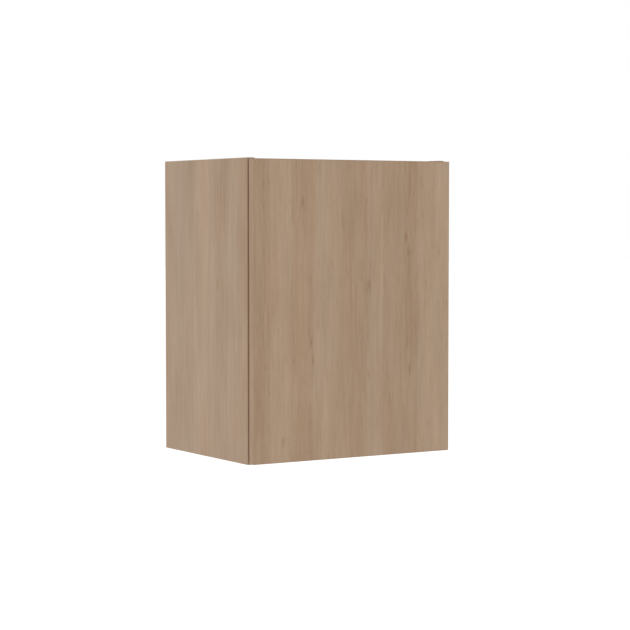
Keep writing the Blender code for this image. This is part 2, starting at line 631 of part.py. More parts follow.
def latch(door_axis, plunger_axis):
    nose = -LATCH_NOSE_BACK
    housing = box("latch_housing", latch_space(SEAT, -ROW_SETBACK - PLATE_WIDTH / 2, -PLATE_LENGTH / 2),
                  latch_space(SEAT + PLATE, -ROW_SETBACK + PLATE_WIDTH / 2, PLATE_LENGTH / 2),
                  "grey_plastic")
    rib_rear = nose - LATCH_LENGTH + LATCH_RIB_SHORT
    rib = box("latch_rib", latch_space(SEAT + PLATE / 4, rib_rear, -LATCH_RIB / 2),
              latch_space(LATCH_STANDOFF, nose - LATCH_RIB_SHORT, LATCH_RIB / 2))
    combine(housing, rib, "UNION")
    barrel = bmesh.new()
    rod(barrel, (0, 0, 0), (0, 1, 0), LATCH_LENGTH, LATCH_RADIUS, 24)
    combine(housing, add("latch_barrel", barrel, latch_space(LATCH_STANDOFF, nose, 0)), "UNION")
    hole = HINGE_SCREW_RADIUS + SEAT
    bores = [(latch_space(LATCH_STANDOFF, nose, 0), (0, 1, 0), PLUNGER_LENGTH + PLUNGER_BORE_EXTRA,
              PLUNGER_RADIUS + SEAT, 20)]
    for word, offset in (("a", -PITCH / 2), ("b", PITCH / 2)):
        bores.append((latch_space(SEAT + PLATE, -ROW_SETBACK, offset), (-1, 0, 0), 2 * PLATE, hole, 12))
        screw(f"latch_screw_{word}", latch_space(2 * SEAT + PLATE, -ROW_SETBACK, offset), (1, 0, 0),
              HINGE_SCREW_RADIUS, PLATE + SCREW_BITE, *PLATE_SCREW_HEAD, "zinc_steel")
    drill(housing, "latch_bores", bores)

    striker_v = DOOR_GAP - SEAT - STRIKER
    turned("latch_striker", latch_space(LATCH_STANDOFF, striker_v, 0), (0, -1, 0),
           [(0, 0), (STRIKER_RADIUS - STRIKER_CHAMFER, 0), (STRIKER_RADIUS, STRIKER_CHAMFER),
            (STRIKER_RADIUS, STRIKER), (0, STRIKER)], "zinc_steel", door_axis, sides=24)
    tip_v = striker_v - SEAT
    turned("latch_magnet", latch_space(LATCH_STANDOFF, tip_v, 0), (0, 1, 0),
           [(0, 0), (PLUNGER_RADIUS - MAGNET_CHAMFER, 0), (PLUNGER_RADIUS, MAGNET_CHAMFER),
            (PLUNGER_RADIUS, MAGNET_LENGTH), (0, MAGNET_LENGTH)], "magnet", plunger_axis, sides=20)
    turned("latch_plunger", latch_space(LATCH_STANDOFF, tip_v - MAGNET_LENGTH - SEAT, 0), (0, 1, 0),
           [(0, 0), (PLUNGER_RADIUS, 0), (PLUNGER_RADIUS, PLUNGER_LENGTH), (0, PLUNGER_LENGTH)],
           "grey_plastic", plunger_axis, sides=20)


def main():
    clear_scene()
    door_axis = empty("door_axis", hinge_space(PIVOT_U, PIVOT_V, 0))
    plunger_axis = empty("plunger_axis", latch_space(LATCH_STANDOFF, 0, 0))
    carcass()
    back()
    shelf()
    hanger("left", -1)
    hanger("right", 1)
    for word, z in HINGE_HEIGHTS.items():
        hinge_plate(word, z)
        hinge_arm(word, z)
        hinge_cup(word, z, door_axis)
    door(door_axis)
    latch(door_axis, plunger_axis)


main()
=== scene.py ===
# %% [markdown]
# # A hanging wall cabinet
#
# This lesson gives a plain kitchen wall cabinet its looks: boards faced with a printed wood decor,
# plastic edge bands, pressed-steel hinges, a push latch and the hangers behind. The cabinet's sizes
# and joints come from a finished frame, which the first cell loads. Everything after that is surface.
# Lengths are metres: X runs to the right, Y away from the viewer into the wall, and Z upwards.

# %% Load the frame
import json
import math

import bmesh
import bpy
import numpy as np
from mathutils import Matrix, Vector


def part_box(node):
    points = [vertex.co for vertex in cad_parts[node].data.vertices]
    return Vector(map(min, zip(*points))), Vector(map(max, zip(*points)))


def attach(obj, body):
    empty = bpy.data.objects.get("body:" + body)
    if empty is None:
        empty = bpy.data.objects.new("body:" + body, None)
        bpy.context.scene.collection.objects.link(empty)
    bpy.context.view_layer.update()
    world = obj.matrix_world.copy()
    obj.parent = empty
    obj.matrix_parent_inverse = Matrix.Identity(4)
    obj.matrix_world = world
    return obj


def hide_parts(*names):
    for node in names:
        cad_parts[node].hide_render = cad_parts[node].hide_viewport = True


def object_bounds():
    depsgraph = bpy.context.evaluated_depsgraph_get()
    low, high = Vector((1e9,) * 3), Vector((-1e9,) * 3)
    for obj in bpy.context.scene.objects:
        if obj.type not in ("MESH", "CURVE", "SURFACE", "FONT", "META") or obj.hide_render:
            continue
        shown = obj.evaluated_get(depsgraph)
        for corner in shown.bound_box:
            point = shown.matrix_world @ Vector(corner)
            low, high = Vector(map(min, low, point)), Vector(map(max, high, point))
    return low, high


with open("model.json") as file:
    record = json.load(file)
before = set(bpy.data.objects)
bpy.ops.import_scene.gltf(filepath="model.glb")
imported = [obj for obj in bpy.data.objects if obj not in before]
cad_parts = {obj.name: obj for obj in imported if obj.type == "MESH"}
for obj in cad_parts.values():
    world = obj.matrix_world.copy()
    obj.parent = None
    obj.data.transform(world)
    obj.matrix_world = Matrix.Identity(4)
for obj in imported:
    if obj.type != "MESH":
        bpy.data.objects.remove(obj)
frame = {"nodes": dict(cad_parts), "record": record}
nodes = frame["nodes"]
frame_box = [list(corner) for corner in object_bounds()]
slot_of = {part["node"]: part["material_slot"] for part in frame["record"]["subparts"]}
body_of = {node: body for body, listed in frame["record"]["behaviour"]["bodies"].items()
           for node in listed}


def span(node):
    """Lowest and highest corner of a frame node, as arrays."""
    return (np.array(corner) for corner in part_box(node))


print("nodes:", len(nodes), "box:", frame_box)

# %% [markdown]
# ## Camera
#
# The cabinet is seen from the front left, at about four fifths of its height. A short lens close by
# would make its upright edges lean. A long lens from four metres keeps them nearly parallel, so that
# is the one used. The turn and the tilt are angles in radians.

# %% Camera
EYE = (-2.0522, -3.4914, 0.4665)
TURN = 0.5585
TILT = -0.0505
LENS = 111.7
SENSOR = 36.0

camera_data = bpy.data.cameras.new("camera")
camera_data.lens = LENS
camera_data.sensor_width = SENSOR
camera = bpy.data.objects.new("camera", camera_data)
camera.location = EYE
camera.rotation_euler = (math.pi / 2 + TILT, 0.0, -TURN)
bpy.context.scene.collection.objects.link(camera)
bpy.context.scene.camera = camera
print("camera:", EYE, "lens:", LENS, "mm")

# %% [markdown]
# ## Small helpers for materials
#
# A material is a tree of nodes. One could add each node by hand in the shader editor. Here one small
# function adds any node with its settings and links, and hands back its output, so that a pattern
# reads like a formula. Colours are written as on a paint card, in hex, and turned to linear light.


# %% Colour and nodes
def linear(colour):
    """A hex sRGB colour as linear RGBA: each channel is undone from its display curve."""
    steps = np.array([int(colour[k:k + 2], 16) for k in (1, 3, 5)]) / 255.0
    light = np.where(steps <= 0.04045, steps / 12.92, ((steps + 0.055) / 1.055) ** 2.4)
    return (*light.tolist(), 1.0)


def put(tree, kind, inputs=None, out=0, **settings):
    """Add a node and return one of its outputs; inputs maps sockets to values or other outputs."""
    node = tree.nodes.new(f"ShaderNode{kind}")
    for name, value in settings.items():
        setattr(node, name, value)
    for name, value in (inputs or {}).items():
        if isinstance(value, bpy.types.NodeSocket):
            tree.links.new(value, node.inputs[name])
        else:
            node.inputs[name].default_value = value
    return node.outputs[out]


def begin(name, **inputs):
    """A new material with its node tree and Principled shader; inputs sets the shader's own values."""
    made = bpy.data.materials.new(name)
    made.use_nodes = True
    shader = made.node_tree.nodes["Principled BSDF"]
    for word, value in inputs.items():
        shader.inputs[word.replace("_", " ")].default_value = value
    return made, made.node_tree, shader


def link(tree, shader, **outputs):
    """Link outputs to the shader's sockets of those names."""
    for word, output in outputs.items():
        tree.links.new(output, shader.inputs[word.replace("_", " ")])


WHITE = linear("#ffffff")
print("white in linear light:", WHITE)

# %% [markdown]
# ## White room
#
# The cabinet hangs in front of plain white, with no shadow behind it. A backdrop could be modelled
# and lit. A white world does the same for less, with a matt white floor far below, which glows a
# little so that it's as white as the world. One soft lamp on the left keeps the faces apart.

# %% White room
world = bpy.data.worlds.new("white_room")
world.use_nodes = True
world.node_tree.nodes["Background"].inputs["Color"].default_value = WHITE
world.node_tree.nodes["Background"].inputs["Strength"].default_value = 1.0
bpy.context.scene.world = world
bpy.context.scene.view_settings.view_transform = "Standard"

FLOOR_DROP = 1.4
FLOOR_REACH = 60.0
FLOOR_GLOW = 0.12
floor_mesh = bpy.data.meshes.new("floor")
corners = np.array([[-1, -1], [1, -1], [1, 1], [-1, 1]]) * FLOOR_REACH
floor_mesh.from_pydata(np.c_[corners, np.full(4, -FLOOR_DROP)].tolist(), [], [(0, 1, 2, 3)])
floor = bpy.data.objects.new("floor", floor_mesh)
bpy.context.scene.collection.objects.link(floor)
floor_mesh.materials.append(begin("white_floor_paint", Base_Color=WHITE, Roughness=1.0,
                                  Emission_Color=WHITE, Emission_Strength=FLOOR_GLOW)[0])


def lamp(name, place, aim, size, power):
    """A square soft lamp at a place, turned towards a point."""
    data = bpy.data.lights.new(name, "AREA")
    data.size = size
    data.energy = power
    made = bpy.data.objects.new(name, data)
    made.location = place
    towards = np.array(aim) - np.array(place)
    flat = math.hypot(towards[0], towards[1])
    made.rotation_euler = (math.pi / 2 + math.atan2(towards[2], flat), 0.0,
                           -math.atan2(towards[0], towards[1]))
    bpy.context.scene.collection.objects.link(made)


MIDDLE = np.mean(frame_box, axis=0)
LAMP_PLACE = (-3.2, -1.8, 1.6)
LAMP_SIZE = 1.6
LAMP_POWER = 4.7
lamp("left_lamp", LAMP_PLACE, MIDDLE, LAMP_SIZE, LAMP_POWER)
print("middle of the cabinet:", MIDDLE.round(3))

# %% [markdown]
# ## Wood decor
#
# The boards are melamine-faced chipboard: paper printed with a pale, fine-grained wood and pressed
# under resin. To the eye that is a satin surface, low in contrast: broad upright lanes that drift
# between pink and green-brown, soft streaks, short dark pores and a few faint knots. A printed sheet
# could be an image. Noise stretched along the grain is used instead, because it runs on without a
# repeat, and each layer's cell is a size that can be measured on a board.

# %% Grain
LEVEL = 0.5
KNOT_SIZE = (0.0035, 0.011)
KNOT_WIDENING = 0.12
KNOT_PUSH = 0.5


def stretched(tree, place, shift, across, along, detail=2.0, roughness=0.5):
    """Noise with a cell of `across` metres sideways and `along` metres with the grain."""
    scale = (1 / across, 1 / across, 1 / along)
    spot = put(tree, "Mapping", {"Vector": place, "Location": shift, "Scale": scale})
    return put(tree, "TexNoise", {"Vector": spot, "Scale": 1.0, "Detail": detail, "Roughness": roughness})


def sums(tree, *terms, start=0.0):
    """Start plus the sum of (output, weight) terms, each counted from LEVEL, the middle of a noise."""
    total = start
    for value, weight in terms:
        centred = put(tree, "Math", {0: value, 1: LEVEL}, operation="SUBTRACT")
        total = put(tree, "Math", {0: centred, 1: weight, 2: total}, operation="MULTIPLY_ADD")
    return total


def knot(tree, place, spot):
    """A bell-shaped spot, e to the minus squared distance, and how far it bends the grain aside."""
    scale = (1 / KNOT_SIZE[0], 1 / KNOT_SIZE[0], 1 / KNOT_SIZE[1])
    start = tuple(-a * b for a, b in zip(spot, scale))
    near = put(tree, "Mapping", {"Vector": place, "Location": start, "Scale": scale})
    square = put(tree, "VectorMath", {0: near, 1: near}, "Value", operation="DOT_PRODUCT")
    bell = put(tree, "Math", {0: 1 / math.e, 1: square}, operation="POWER")
    across = put(tree, "Math", {0: put(tree, "SeparateXYZ", {0: near}, "X"),
                                1: put(tree, "SeparateXYZ", {0: near}, "Y")}, operation="ADD")
    wide = put(tree, "Math", {0: bell, 1: KNOT_WIDENING}, operation="POWER")
    bend = put(tree, "Math", {0: across, 1: wide}, operation="MULTIPLY")
    return bell, put(tree, "Math", {0: bend, 1: -KNOT_SIZE[0] * KNOT_PUSH}, operation="MULTIPLY")


def along_grain(tree, along):
    """Object coordinates, turned so that the third one runs with the grain."""
    place = put(tree, "TexCoord", out="Object")
    if along == "Z":
        return place
    x, y, z = (put(tree, "SeparateXYZ", {0: place}, word) for word in "XYZ")
    return put(tree, "CombineXYZ", {"X": z, "Y": y, "Z": x})


print("a knot is", [round(size * 2000, 1) for size in KNOT_SIZE], "mm wide and long")

# %% [markdown]
# ## Colours and layers of the decor
#
# Two colours span the whole print, and a faint tint drifts over them from warm to cool. Each layer is
# a noise with a cell in metres, across and along the grain. Lanes come from a colour ramp with hard
# steps, because the print's own lanes meet at a line; small noises fray that line.

# %% Decor colour
PALE, DEEP = "#aa9279", "#886a4d"
WARM, COOL = (1.034, 0.998, 0.966, 1.0), (0.966, 1.002, 1.034, 1.0)
# cell across, cell along, and how far it moves the grain or a lane's line, all in metres
WANDER = ((0.10, 0.34, 0.011), (0.020, 0.060, 0.004))
FRAYING = ((0.0015, 0.010, 0.010), (0.060, 0.20, 0.006))
# (cell across, cell along, detail, roughness) and the weight in the tone
BANDS = (0.0090, 0.20, 2.0, 0.5), 0.44
STREAKS = (0.0034, 0.085, 3.0, 0.6), 0.54
FIBRES = (0.0011, 0.045, 2.0, 0.5), 0.42
CLOUDS = (0.040, 0.18, 3.0, 0.5), 0.55
LANE_TONE, LANE_HUE = 1.1, 1.3
PORES = (0.0040, 0.030, 1.0)
PORE_RANGE = {"From Min": 0.62, "From Max": 0.80, "To Min": LEVEL, "To Max": 0.26}
KNOT_TONE = -0.38
HUES, HUE_SHIFT, HUE_WEIGHT = (0.030, 0.25), (4.0, 4.0, 2.0), 1.6


def decor(tree, shift, lanes, along="Z", across="X", knots=()):
    """The printed wood: lanes side by side, each with its tone and hue, under noises of five sizes.

    lanes lists (start along the across axis in metres, tone, hue); tone and hue count from 0.
    Gives the colour, and the relief of the streaks and fibres.
    """
    place = along_grain(tree, along)
    push = sums(tree, *((stretched(tree, place, shift, wide, long, 1.0), far)
                        for wide, long, far in WANDER))
    spots = []
    for spot in knots:
        bell, bend = knot(tree, place, spot)
        spots.append(bell)
        push = put(tree, "Math", {0: push, 1: bend}, operation="ADD")
    push = put(tree, "CombineXYZ", {"X": push, "Y": push})
    grain = put(tree, "VectorMath", {0: place, 1: push}, operation="ADD")

    first, last = lanes[0][0], lanes[-1][0]
    fray = sums(tree, *((stretched(tree, grain, shift, wide, long, 1.0), far)
                        for wide, long, far in FRAYING))
    spot = put(tree, "Math", {0: put(tree, "SeparateXYZ", {0: place}, across), 1: fray}, operation="ADD")
    spot = put(tree, "MapRange", {"Value": spot, "From Min": first, "From Max": last})
    lane = put(tree, "ValToRGB", {0: spot})
    ramp = lane.node.color_ramp
    ramp.interpolation = "CONSTANT"
    for start, tone, hue in lanes[1:-1]:
        ramp.elements.new((start - first) / (last - first))
    for stop, (start, tone, hue) in zip(ramp.elements, lanes):
        stop.color = (LEVEL + tone, LEVEL + hue, 0.0, 1.0)
    lane_tone, lane_hue = (put(tree, "SeparateColor", {0: lane}, k) for k in (0, 1))

    layers = [(stretched(tree, grain, shift, *cell), weight)
              for cell, weight in (BANDS, STREAKS, FIBRES, CLOUDS)]
    pores = put(tree, "MapRange", {"Value": stretched(tree, grain, shift, *PORES), **PORE_RANGE})
    tone = sums(tree, (lane_tone, LANE_TONE), *layers, (pores, 1.0), start=LEVEL)
    for bell in spots:
        tone = put(tree, "Math", {0: bell, 1: KNOT_TONE, 2: tone}, operation="MULTIPLY_ADD")
    printed = put(tree, "Mix", {0: tone, 6: linear(DEEP), 7: linear(PALE)}, 2, data_type="RGBA")

    drift = sums(tree, (lane_hue, LANE_HUE), (stretched(tree, grain, HUE_SHIFT, *HUES), HUE_WEIGHT),
                 start=LEVEL)
    tint = put(tree, "Mix", {0: drift, 6: COOL, 7: WARM}, 2, data_type="RGBA")
    colour = put(tree, "Mix", {0: 1.0, 6: printed, 7: tint}, 2, data_type="RGBA", blend_type="MULTIPLY")
    return colour, sums(tree, (layers[1][0], 0.5), (layers[2][0], 1.0))


print("decor: streaks of", STREAKS[0][0] * 1000, "mm, bands of", BANDS[0][0] * 1000, "mm")

# %% [markdown]
# ## Boards
#
# A board is faced on its two broad sides only. Where it is cut and not banded, the core of pressed
# chips shows. Each board could be split into faces with a material each. Here one material does both:
# it reads the direction that the surface faces, which never changes on a flat board, and so the two
# finishes meet exactly on the arris.

# %% Raw chipboard
CHIP_DARK, CHIP_PALE, BARK = "#9d835f", "#c2aa84", "#5d4630"
CHIPS_PER_METRE, SPECKS_PER_METRE = 420.0, 900.0
SPECK_RANGE = {"From Min": 0.60, "From Max": 0.72, "To Max": 0.60}
SQUARE_ON = 0.7


def chips(tree):
    """Pressed chips: cells 2 to 3 mm across, each its own tan, with dark specks of bark and resin."""
    place = put(tree, "TexCoord", out="Object")
    cell = put(tree, "TexVoronoi", {"Vector": place, "Scale": CHIPS_PER_METRE}, "Color")
    cell = put(tree, "SeparateColor", {0: cell})
    tan = put(tree, "Mix", {0: cell, 6: linear(CHIP_DARK), 7: linear(CHIP_PALE)}, 2, data_type="RGBA")
    specks = put(tree, "TexNoise", {"Vector": place, "Scale": SPECKS_PER_METRE, "Detail": 2.0})
    specks = put(tree, "MapRange", {"Value": specks, **SPECK_RANGE})
    return put(tree, "Mix", {0: specks, 6: tan, 7: linear(BARK)}, 2, data_type="RGBA"), cell


def facing(tree, axis):
    """1 where the surface looks along an axis, either way, and 0 elsewhere."""
    normal = put(tree, "SeparateXYZ", {0: put(tree, "TexCoord", out="Normal")}, axis)
    normal = put(tree, "Math", {0: normal}, operation="ABSOLUTE")
    return put(tree, "Math", {0: normal, 1: SQUARE_ON}, operation="GREATER_THAN")


print("chips:", round(1000 / CHIPS_PER_METRE, 1), "mm")

# %% Faced boards
RAW_ROUGH, FACED_ROUGH = 0.92, 0.46


def board(name, shift, face, lanes, along="Z", knots=()):
    """Melamine-faced chipboard: decor where it looks along the face axis, raw chips on its cut edges."""
    made, tree, shader = begin(name)
    printed, relief = decor(tree, shift, lanes, along, "X" if face == "Y" else "Y", knots)
    raw, cell = chips(tree)
    faced = facing(tree, face)
    height = put(tree, "Mix", {0: faced, 2: cell, 3: relief})
    link(tree, shader,
         Base_Color=put(tree, "Mix", {0: faced, 6: raw, 7: printed}, 2, data_type="RGBA"),
         Roughness=put(tree, "MapRange", {"Value": faced, "To Min": RAW_ROUGH, "To Max": FACED_ROUGH}),
         Normal=put(tree, "Bump", {"Height": height, "Strength": 0.12, "Distance": 0.0002}))
    return made


# %% [markdown]
# ## Lanes and knots
#
# On the door and on the left side, which are seen first, the lanes and the knots are listed one by one:
# each lane gives its start, how light it is and how warm. The other boards draw theirs at random from
# a fixed seed, so that no two look the same and every run gives the same cabinet.

# %% Lanes and knots
LANE_WIDTHS = (0.026, 0.048)
MOST_LANES = 30
TONE_REACH, HUE_REACH = 0.10, 0.3
DOOR_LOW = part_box("door_panel")[0]
SIDE_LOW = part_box("side_panel_left")[0]
DOOR_LANES = [(DOOR_LOW.x + start, tone, hue) for start, tone, hue in
              ((0.000, -0.09, -0.05), (0.032, 0.07, 0.15), (0.080, -0.04, 0.18), (0.128, 0.06, -0.15),
               (0.160, 0.01, 0.00), (0.208, -0.05, 0.10), (0.250, 0.08, -0.18), (0.288, -0.05, 0.00),
               (0.336, -0.10, 0.05), (0.370, 0.08, -0.10), (0.412, 0.11, 0.00), (0.447, 0.0, 0.0))]
SIDE_LANES = [(SIDE_LOW.y + start, tone, hue) for start, tone, hue in
              ((0.000, -0.05, 0.10), (0.035, 0.02, -0.10), (0.075, -0.05, 0.05), (0.128, 0.02, 0.10),
               (0.148, 0.08, 0.25), (0.178, 0.06, 0.05), (0.210, -0.05, -0.20), (0.282, 0.03, -0.15),
               (0.312, 0.02, 0.20), (0.328, 0.0, 0.0))]


def random_lanes(seed, low, high):
    """Lanes 26 to 48 mm wide from a seeded draw, each with its own tone and hue."""
    draw = np.random.default_rng(seed)
    starts = low + np.cumsum(np.r_[0, draw.uniform(*LANE_WIDTHS, MOST_LANES)])
    starts = starts[starts < high]
    tones = draw.uniform(-TONE_REACH, TONE_REACH, len(starts))
    hues = draw.uniform(-HUE_REACH, HUE_REACH, len(starts))
    return [*zip(starts.tolist(), tones.tolist(), hues.tolist()), (high, 0.0, 0.0)]


DOOR_KNOTS = [(x, DOOR_LOW.y, z) for x, z in
              ((0.120, 0.425), (0.034, 0.334), (-0.098, 0.228), (-0.117, 0.493), (0.129, 0.168),
               (-0.094, 0.194), (0.126, 0.398), (-0.160, 0.042))]
deep = (SIDE_LOW.y, 0.0)
finishes = {
    "door_panel": board("door_melamine", (0.31, 0.0, 0.12), "Y", DOOR_LANES, knots=DOOR_KNOTS),
    "side_panel_left": board("left_side_melamine", (1.27, 0.43, 0.71), "X", SIDE_LANES,
                             knots=[(SIDE_LOW.x, -0.215, 0.336)]),
    "side_panel_right": board("right_side_melamine", (2.53, 1.43, 0.21), "X", random_lanes(3, *deep)),
    "top_panel": board("top_melamine", (0.77, 3.10, 1.50), "Z", random_lanes(5, *deep), "X"),
    "bottom_panel": board("bottom_melamine", (5.21, 0.60, 2.40), "Z", random_lanes(8, *deep), "X"),
    "shelf": board("shelf_melamine", (3.44, 2.25, 0.90), "Z", random_lanes(13, *deep), "X"),
}
print("boards:", len(finishes), "door lanes:", len(DOOR_LANES) - 1, "knots:", len(DOOR_KNOTS))

# %% [markdown]
# ## Bands and back
#
# The edge bands are strips of ABS printed to match, a shade deeper than the boards, and rolled on, so
# they are a little glossier. They take the same decor with a tint, and no lanes: a strip is narrower
# than a lane. The back is thin hardboard, printed on one side only; a second board material would
# need two faces, so the same trick as on the boards tells front from rear.

# %% Edge bands
BAND_TINT = (0.940, 0.885, 0.835, 1.0)


def edge_band(name, shift, lanes, along="Z"):
    """ABS band printed like the boards: a shade deeper, with a soft satin from the roller."""
    made, tree, shader = begin(name, Roughness=0.42)
    printed, relief = decor(tree, shift, lanes, along)
    link(tree, shader,
         Base_Color=put(tree, "Mix", {0: 1.0, 6: printed, 7: BAND_TINT}, 2, data_type="RGBA",
                        blend_type="MULTIPLY"),
         Normal=put(tree, "Bump", {"Height": relief, "Strength": 0.08, "Distance": 0.0001}))
    return made


EVEN = ((-1.0, 0.0, 0.0), (1.0, 0.0, 0.0))
upright_band = edge_band("upright_abs_band", (0.9, 0.2, 0.4), EVEN)
level_band = edge_band("level_abs_band", (0.5, 1.2, 0.9), EVEN, "X")
print("bands:", upright_band.name, level_band.name)

# %% Hardboard back
FIBRE_DARK, FIBRE_PALE = "#6b4b2f", "#a27f58"
FELT_PER_METRE, CLOUDS_PER_METRE = 700.0, 9.0
FELT_WEIGHT, CLOUD_WEIGHT = 1.6, 0.9
FIBRE_ROUGH, PRINT_ROUGH = 0.85, 0.5


def hardboard(name):
    """Thin hardboard: printed on the side that faces the shelves, bare brown fibre behind it."""
    made, tree, shader = begin(name)
    printed, relief = decor(tree, (6.1, 0.8, 1.7), random_lanes(21, frame_box[0][0], frame_box[1][0]))
    place = put(tree, "TexCoord", out="Object")
    felt = put(tree, "TexNoise", {"Vector": place, "Scale": FELT_PER_METRE, "Detail": 4.0})
    cloud = put(tree, "TexNoise", {"Vector": place, "Scale": CLOUDS_PER_METRE, "Detail": 3.0})
    tone = sums(tree, (felt, FELT_WEIGHT), (cloud, CLOUD_WEIGHT), start=LEVEL)
    brown = put(tree, "Mix", {0: tone, 6: linear(FIBRE_DARK), 7: linear(FIBRE_PALE)}, 2,
                data_type="RGBA")
    front = put(tree, "SeparateXYZ", {0: put(tree, "TexCoord", out="Normal")}, "Y")
    front = put(tree, "Math", {0: front, 1: -SQUARE_ON}, operation="LESS_THAN")
    link(tree, shader,
         Base_Color=put(tree, "Mix", {0: front, 6: brown, 7: printed}, 2, data_type="RGBA"),
         Roughness=put(tree, "MapRange", {"Value": front, "To Min": FIBRE_ROUGH, "To Max": PRINT_ROUGH}),
         Normal=put(tree, "Bump", {"Height": felt, "Strength": 0.25, "Distance": 0.0002}))
    return made


finishes["back_panel"] = hardboard("brown_hardboard")
print("back:", finishes["back_panel"].name)

# %% [markdown]
# ## Metals and plastics
#
# The fittings are pressed steel and moulded plastic. Nickel plate is warm and smooth, with faint
# lines from the press; zinc plate is bluer and cloudier; the magnet's dark plating hardly shines. The
# latch's grey acetal and the hanger caps' white plastic are satin, with a very fine grain from the
# mould. One flat colour each would look like paint, so a noise varies the colour and the polish a
# little. A metal takes its colour in Base Color and keeps the shader's own IOR.

# %% Fitting materials
NOISE_RANGE = {"From Min": 0.3, "From Max": 0.7}
DULLER, SMOOTHER = 0.10, 0.08


def metal(name, bright, dull, roughness, cell, stretch=1.0):
    """Plated steel: noise cells, drawn out upwards by stretch, vary its colour and polish a little."""
    made, tree, shader = begin(name, Metallic=1.0)
    scale = (1 / cell, 1 / cell, 1 / (cell * stretch))
    spot = put(tree, "Mapping", {"Vector": put(tree, "TexCoord", out="Object"), "Scale": scale})
    fine = put(tree, "TexNoise", {"Vector": spot, "Scale": 1.0, "Detail": 3.0})
    share = put(tree, "MapRange", {"Value": fine, **NOISE_RANGE})
    link(tree, shader,
         Base_Color=put(tree, "Mix", {0: share, 6: linear(dull), 7: linear(bright)}, 2, data_type="RGBA"),
         Roughness=put(tree, "MapRange", {"Value": fine, "To Min": roughness + DULLER,
                                          "To Max": roughness - SMOOTHER}),
         Normal=put(tree, "Bump", {"Height": fine, "Strength": 0.05, "Distance": 0.0001}))
    return made


def plastic(name, light, shade, roughness, grit):
    """Moulded plastic: a fine pitted skin from the spark-eroded mould and a slight mottling."""
    made, tree, shader = begin(name, Roughness=roughness)
    place = put(tree, "TexCoord", out="Object")
    cloud = put(tree, "TexNoise", {"Vector": place, "Scale": 60.0, "Detail": 3.0})
    skin = put(tree, "TexNoise", {"Vector": place, "Scale": 1 / grit, "Detail": 2.0})
    link(tree, shader,
         Base_Color=put(tree, "Mix", {0: cloud, 6: linear(shade), 7: linear(light)}, 2, data_type="RGBA"),
         Normal=put(tree, "Bump", {"Height": skin, "Strength": 0.15, "Distance": 0.0001}))
    return made


nickel = metal("nickel_plate", "#d8d2c6", "#b9b2a6", 0.28, 0.0006, 12.0)
zinc = metal("zinc_plate", "#c3c8cc", "#9ea4a9", 0.36, 0.0030)
magnet_plate = metal("dark_plated_magnet", "#565659", "#3c3c40", 0.35, 0.0010)
grey_plastic = plastic("grey_acetal", "#b9b8b3", "#a4a39e", 0.42, 0.0006)
white_plastic = plastic("off_white_plastic", "#e8e5dc", "#dad7cd", 0.45, 0.0007)
finish_of_slot = {"nickel_steel": nickel, "zinc_steel": zinc, "magnet": magnet_plate,
                  "grey_plastic": grey_plastic, "white_plastic": white_plastic}

for node, slot in slot_of.items():
    mesh = nodes[node].data
    mesh.materials.clear()
    mesh.materials.append(finishes.get(node) or finish_of_slot.get(slot) or upright_band)
print("materials:", len(bpy.data.materials))

# %% [markdown]
# ## Surfaces from arrays
#
# The frame's own shapes are plain. A piece could be modelled by hand from cubes and cylinders. Here
# every new piece is a loft: a stack of closed rings of points, worked out as one array of rows and
# columns, with a face across each gap. A straight profile, a turned part, a bent strip and a rim that
# returns to its start are all lofts, and differ only in how their rings are made.

# %% Lofts
CREASE = math.radians(35)


def loft(rings, looped=False):
    """The skin over rings (rows, columns, 3): its points, its four-sided faces and its end caps."""
    rings = np.asarray(rings, float)
    rows, columns = rings.shape[:2]
    index = np.arange(rows * columns).reshape(rows, columns)
    around = np.hstack([index, index[:, :1]])
    if looped:
        around = np.vstack([around, around[:1]])
    quads = np.stack([around[:-1, :-1], around[1:, :-1], around[1:, 1:], around[:-1, 1:]], -1)
    caps = [] if looped else [index[0], index[-1][::-1]]
    return rings.reshape(-1, 3), quads.reshape(-1, 4), caps


def piece(name, shells, finish, *stands_for):
    """One object from several closed shells, in place of the frame's nodes and on their body."""
    points, faces, count = [], [], 0
    for shell_points, quads, caps in shells:
        points.append(shell_points)
        faces += (quads + count).tolist() + [(cap + count).tolist() for cap in caps]
        count += len(shell_points)
    mesh = bpy.data.meshes.new(name)
    mesh.from_pydata(np.vstack(points).tolist(), [], faces)
    shape = bmesh.new()
    shape.from_mesh(mesh)
    bmesh.ops.recalc_face_normals(shape, faces=shape.faces)
    shape.to_mesh(mesh)
    shape.free()
    mesh.shade_smooth()
    mesh.set_sharp_from_angle(angle=CREASE)
    mesh.materials.append(finish)
    made = bpy.data.objects.new(name, mesh)
    bpy.context.scene.collection.objects.link(made)
    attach(made, body_of[stands_for[0]])
    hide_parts(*stands_for)
    return made


tube = loft(np.zeros((3, 8, 3)))
print("a loft of 3 rings of 8 has", len(tube[1]), "sides and", len(tube[2]), "caps")

# %% [markdown]
# ## Outlines
#
# Sheet and moulded parts have corners with a radius, since a sharp one would tear in the press. An
# outline starts as a few corner points, and each corner is replaced by an arc that meets both of its
# edges. The Bevel modifier can do that as well. An arc worked out here keeps the same number of points
# on every ring, which a loft needs.

# %% Outlines
TINY = 1e-12


def unit(vectors):
    """Vectors scaled to length one; TINY keeps a vector of no length from dividing by zero."""
    return vectors / (np.linalg.norm(vectors, axis=-1, keepdims=True) + TINY)


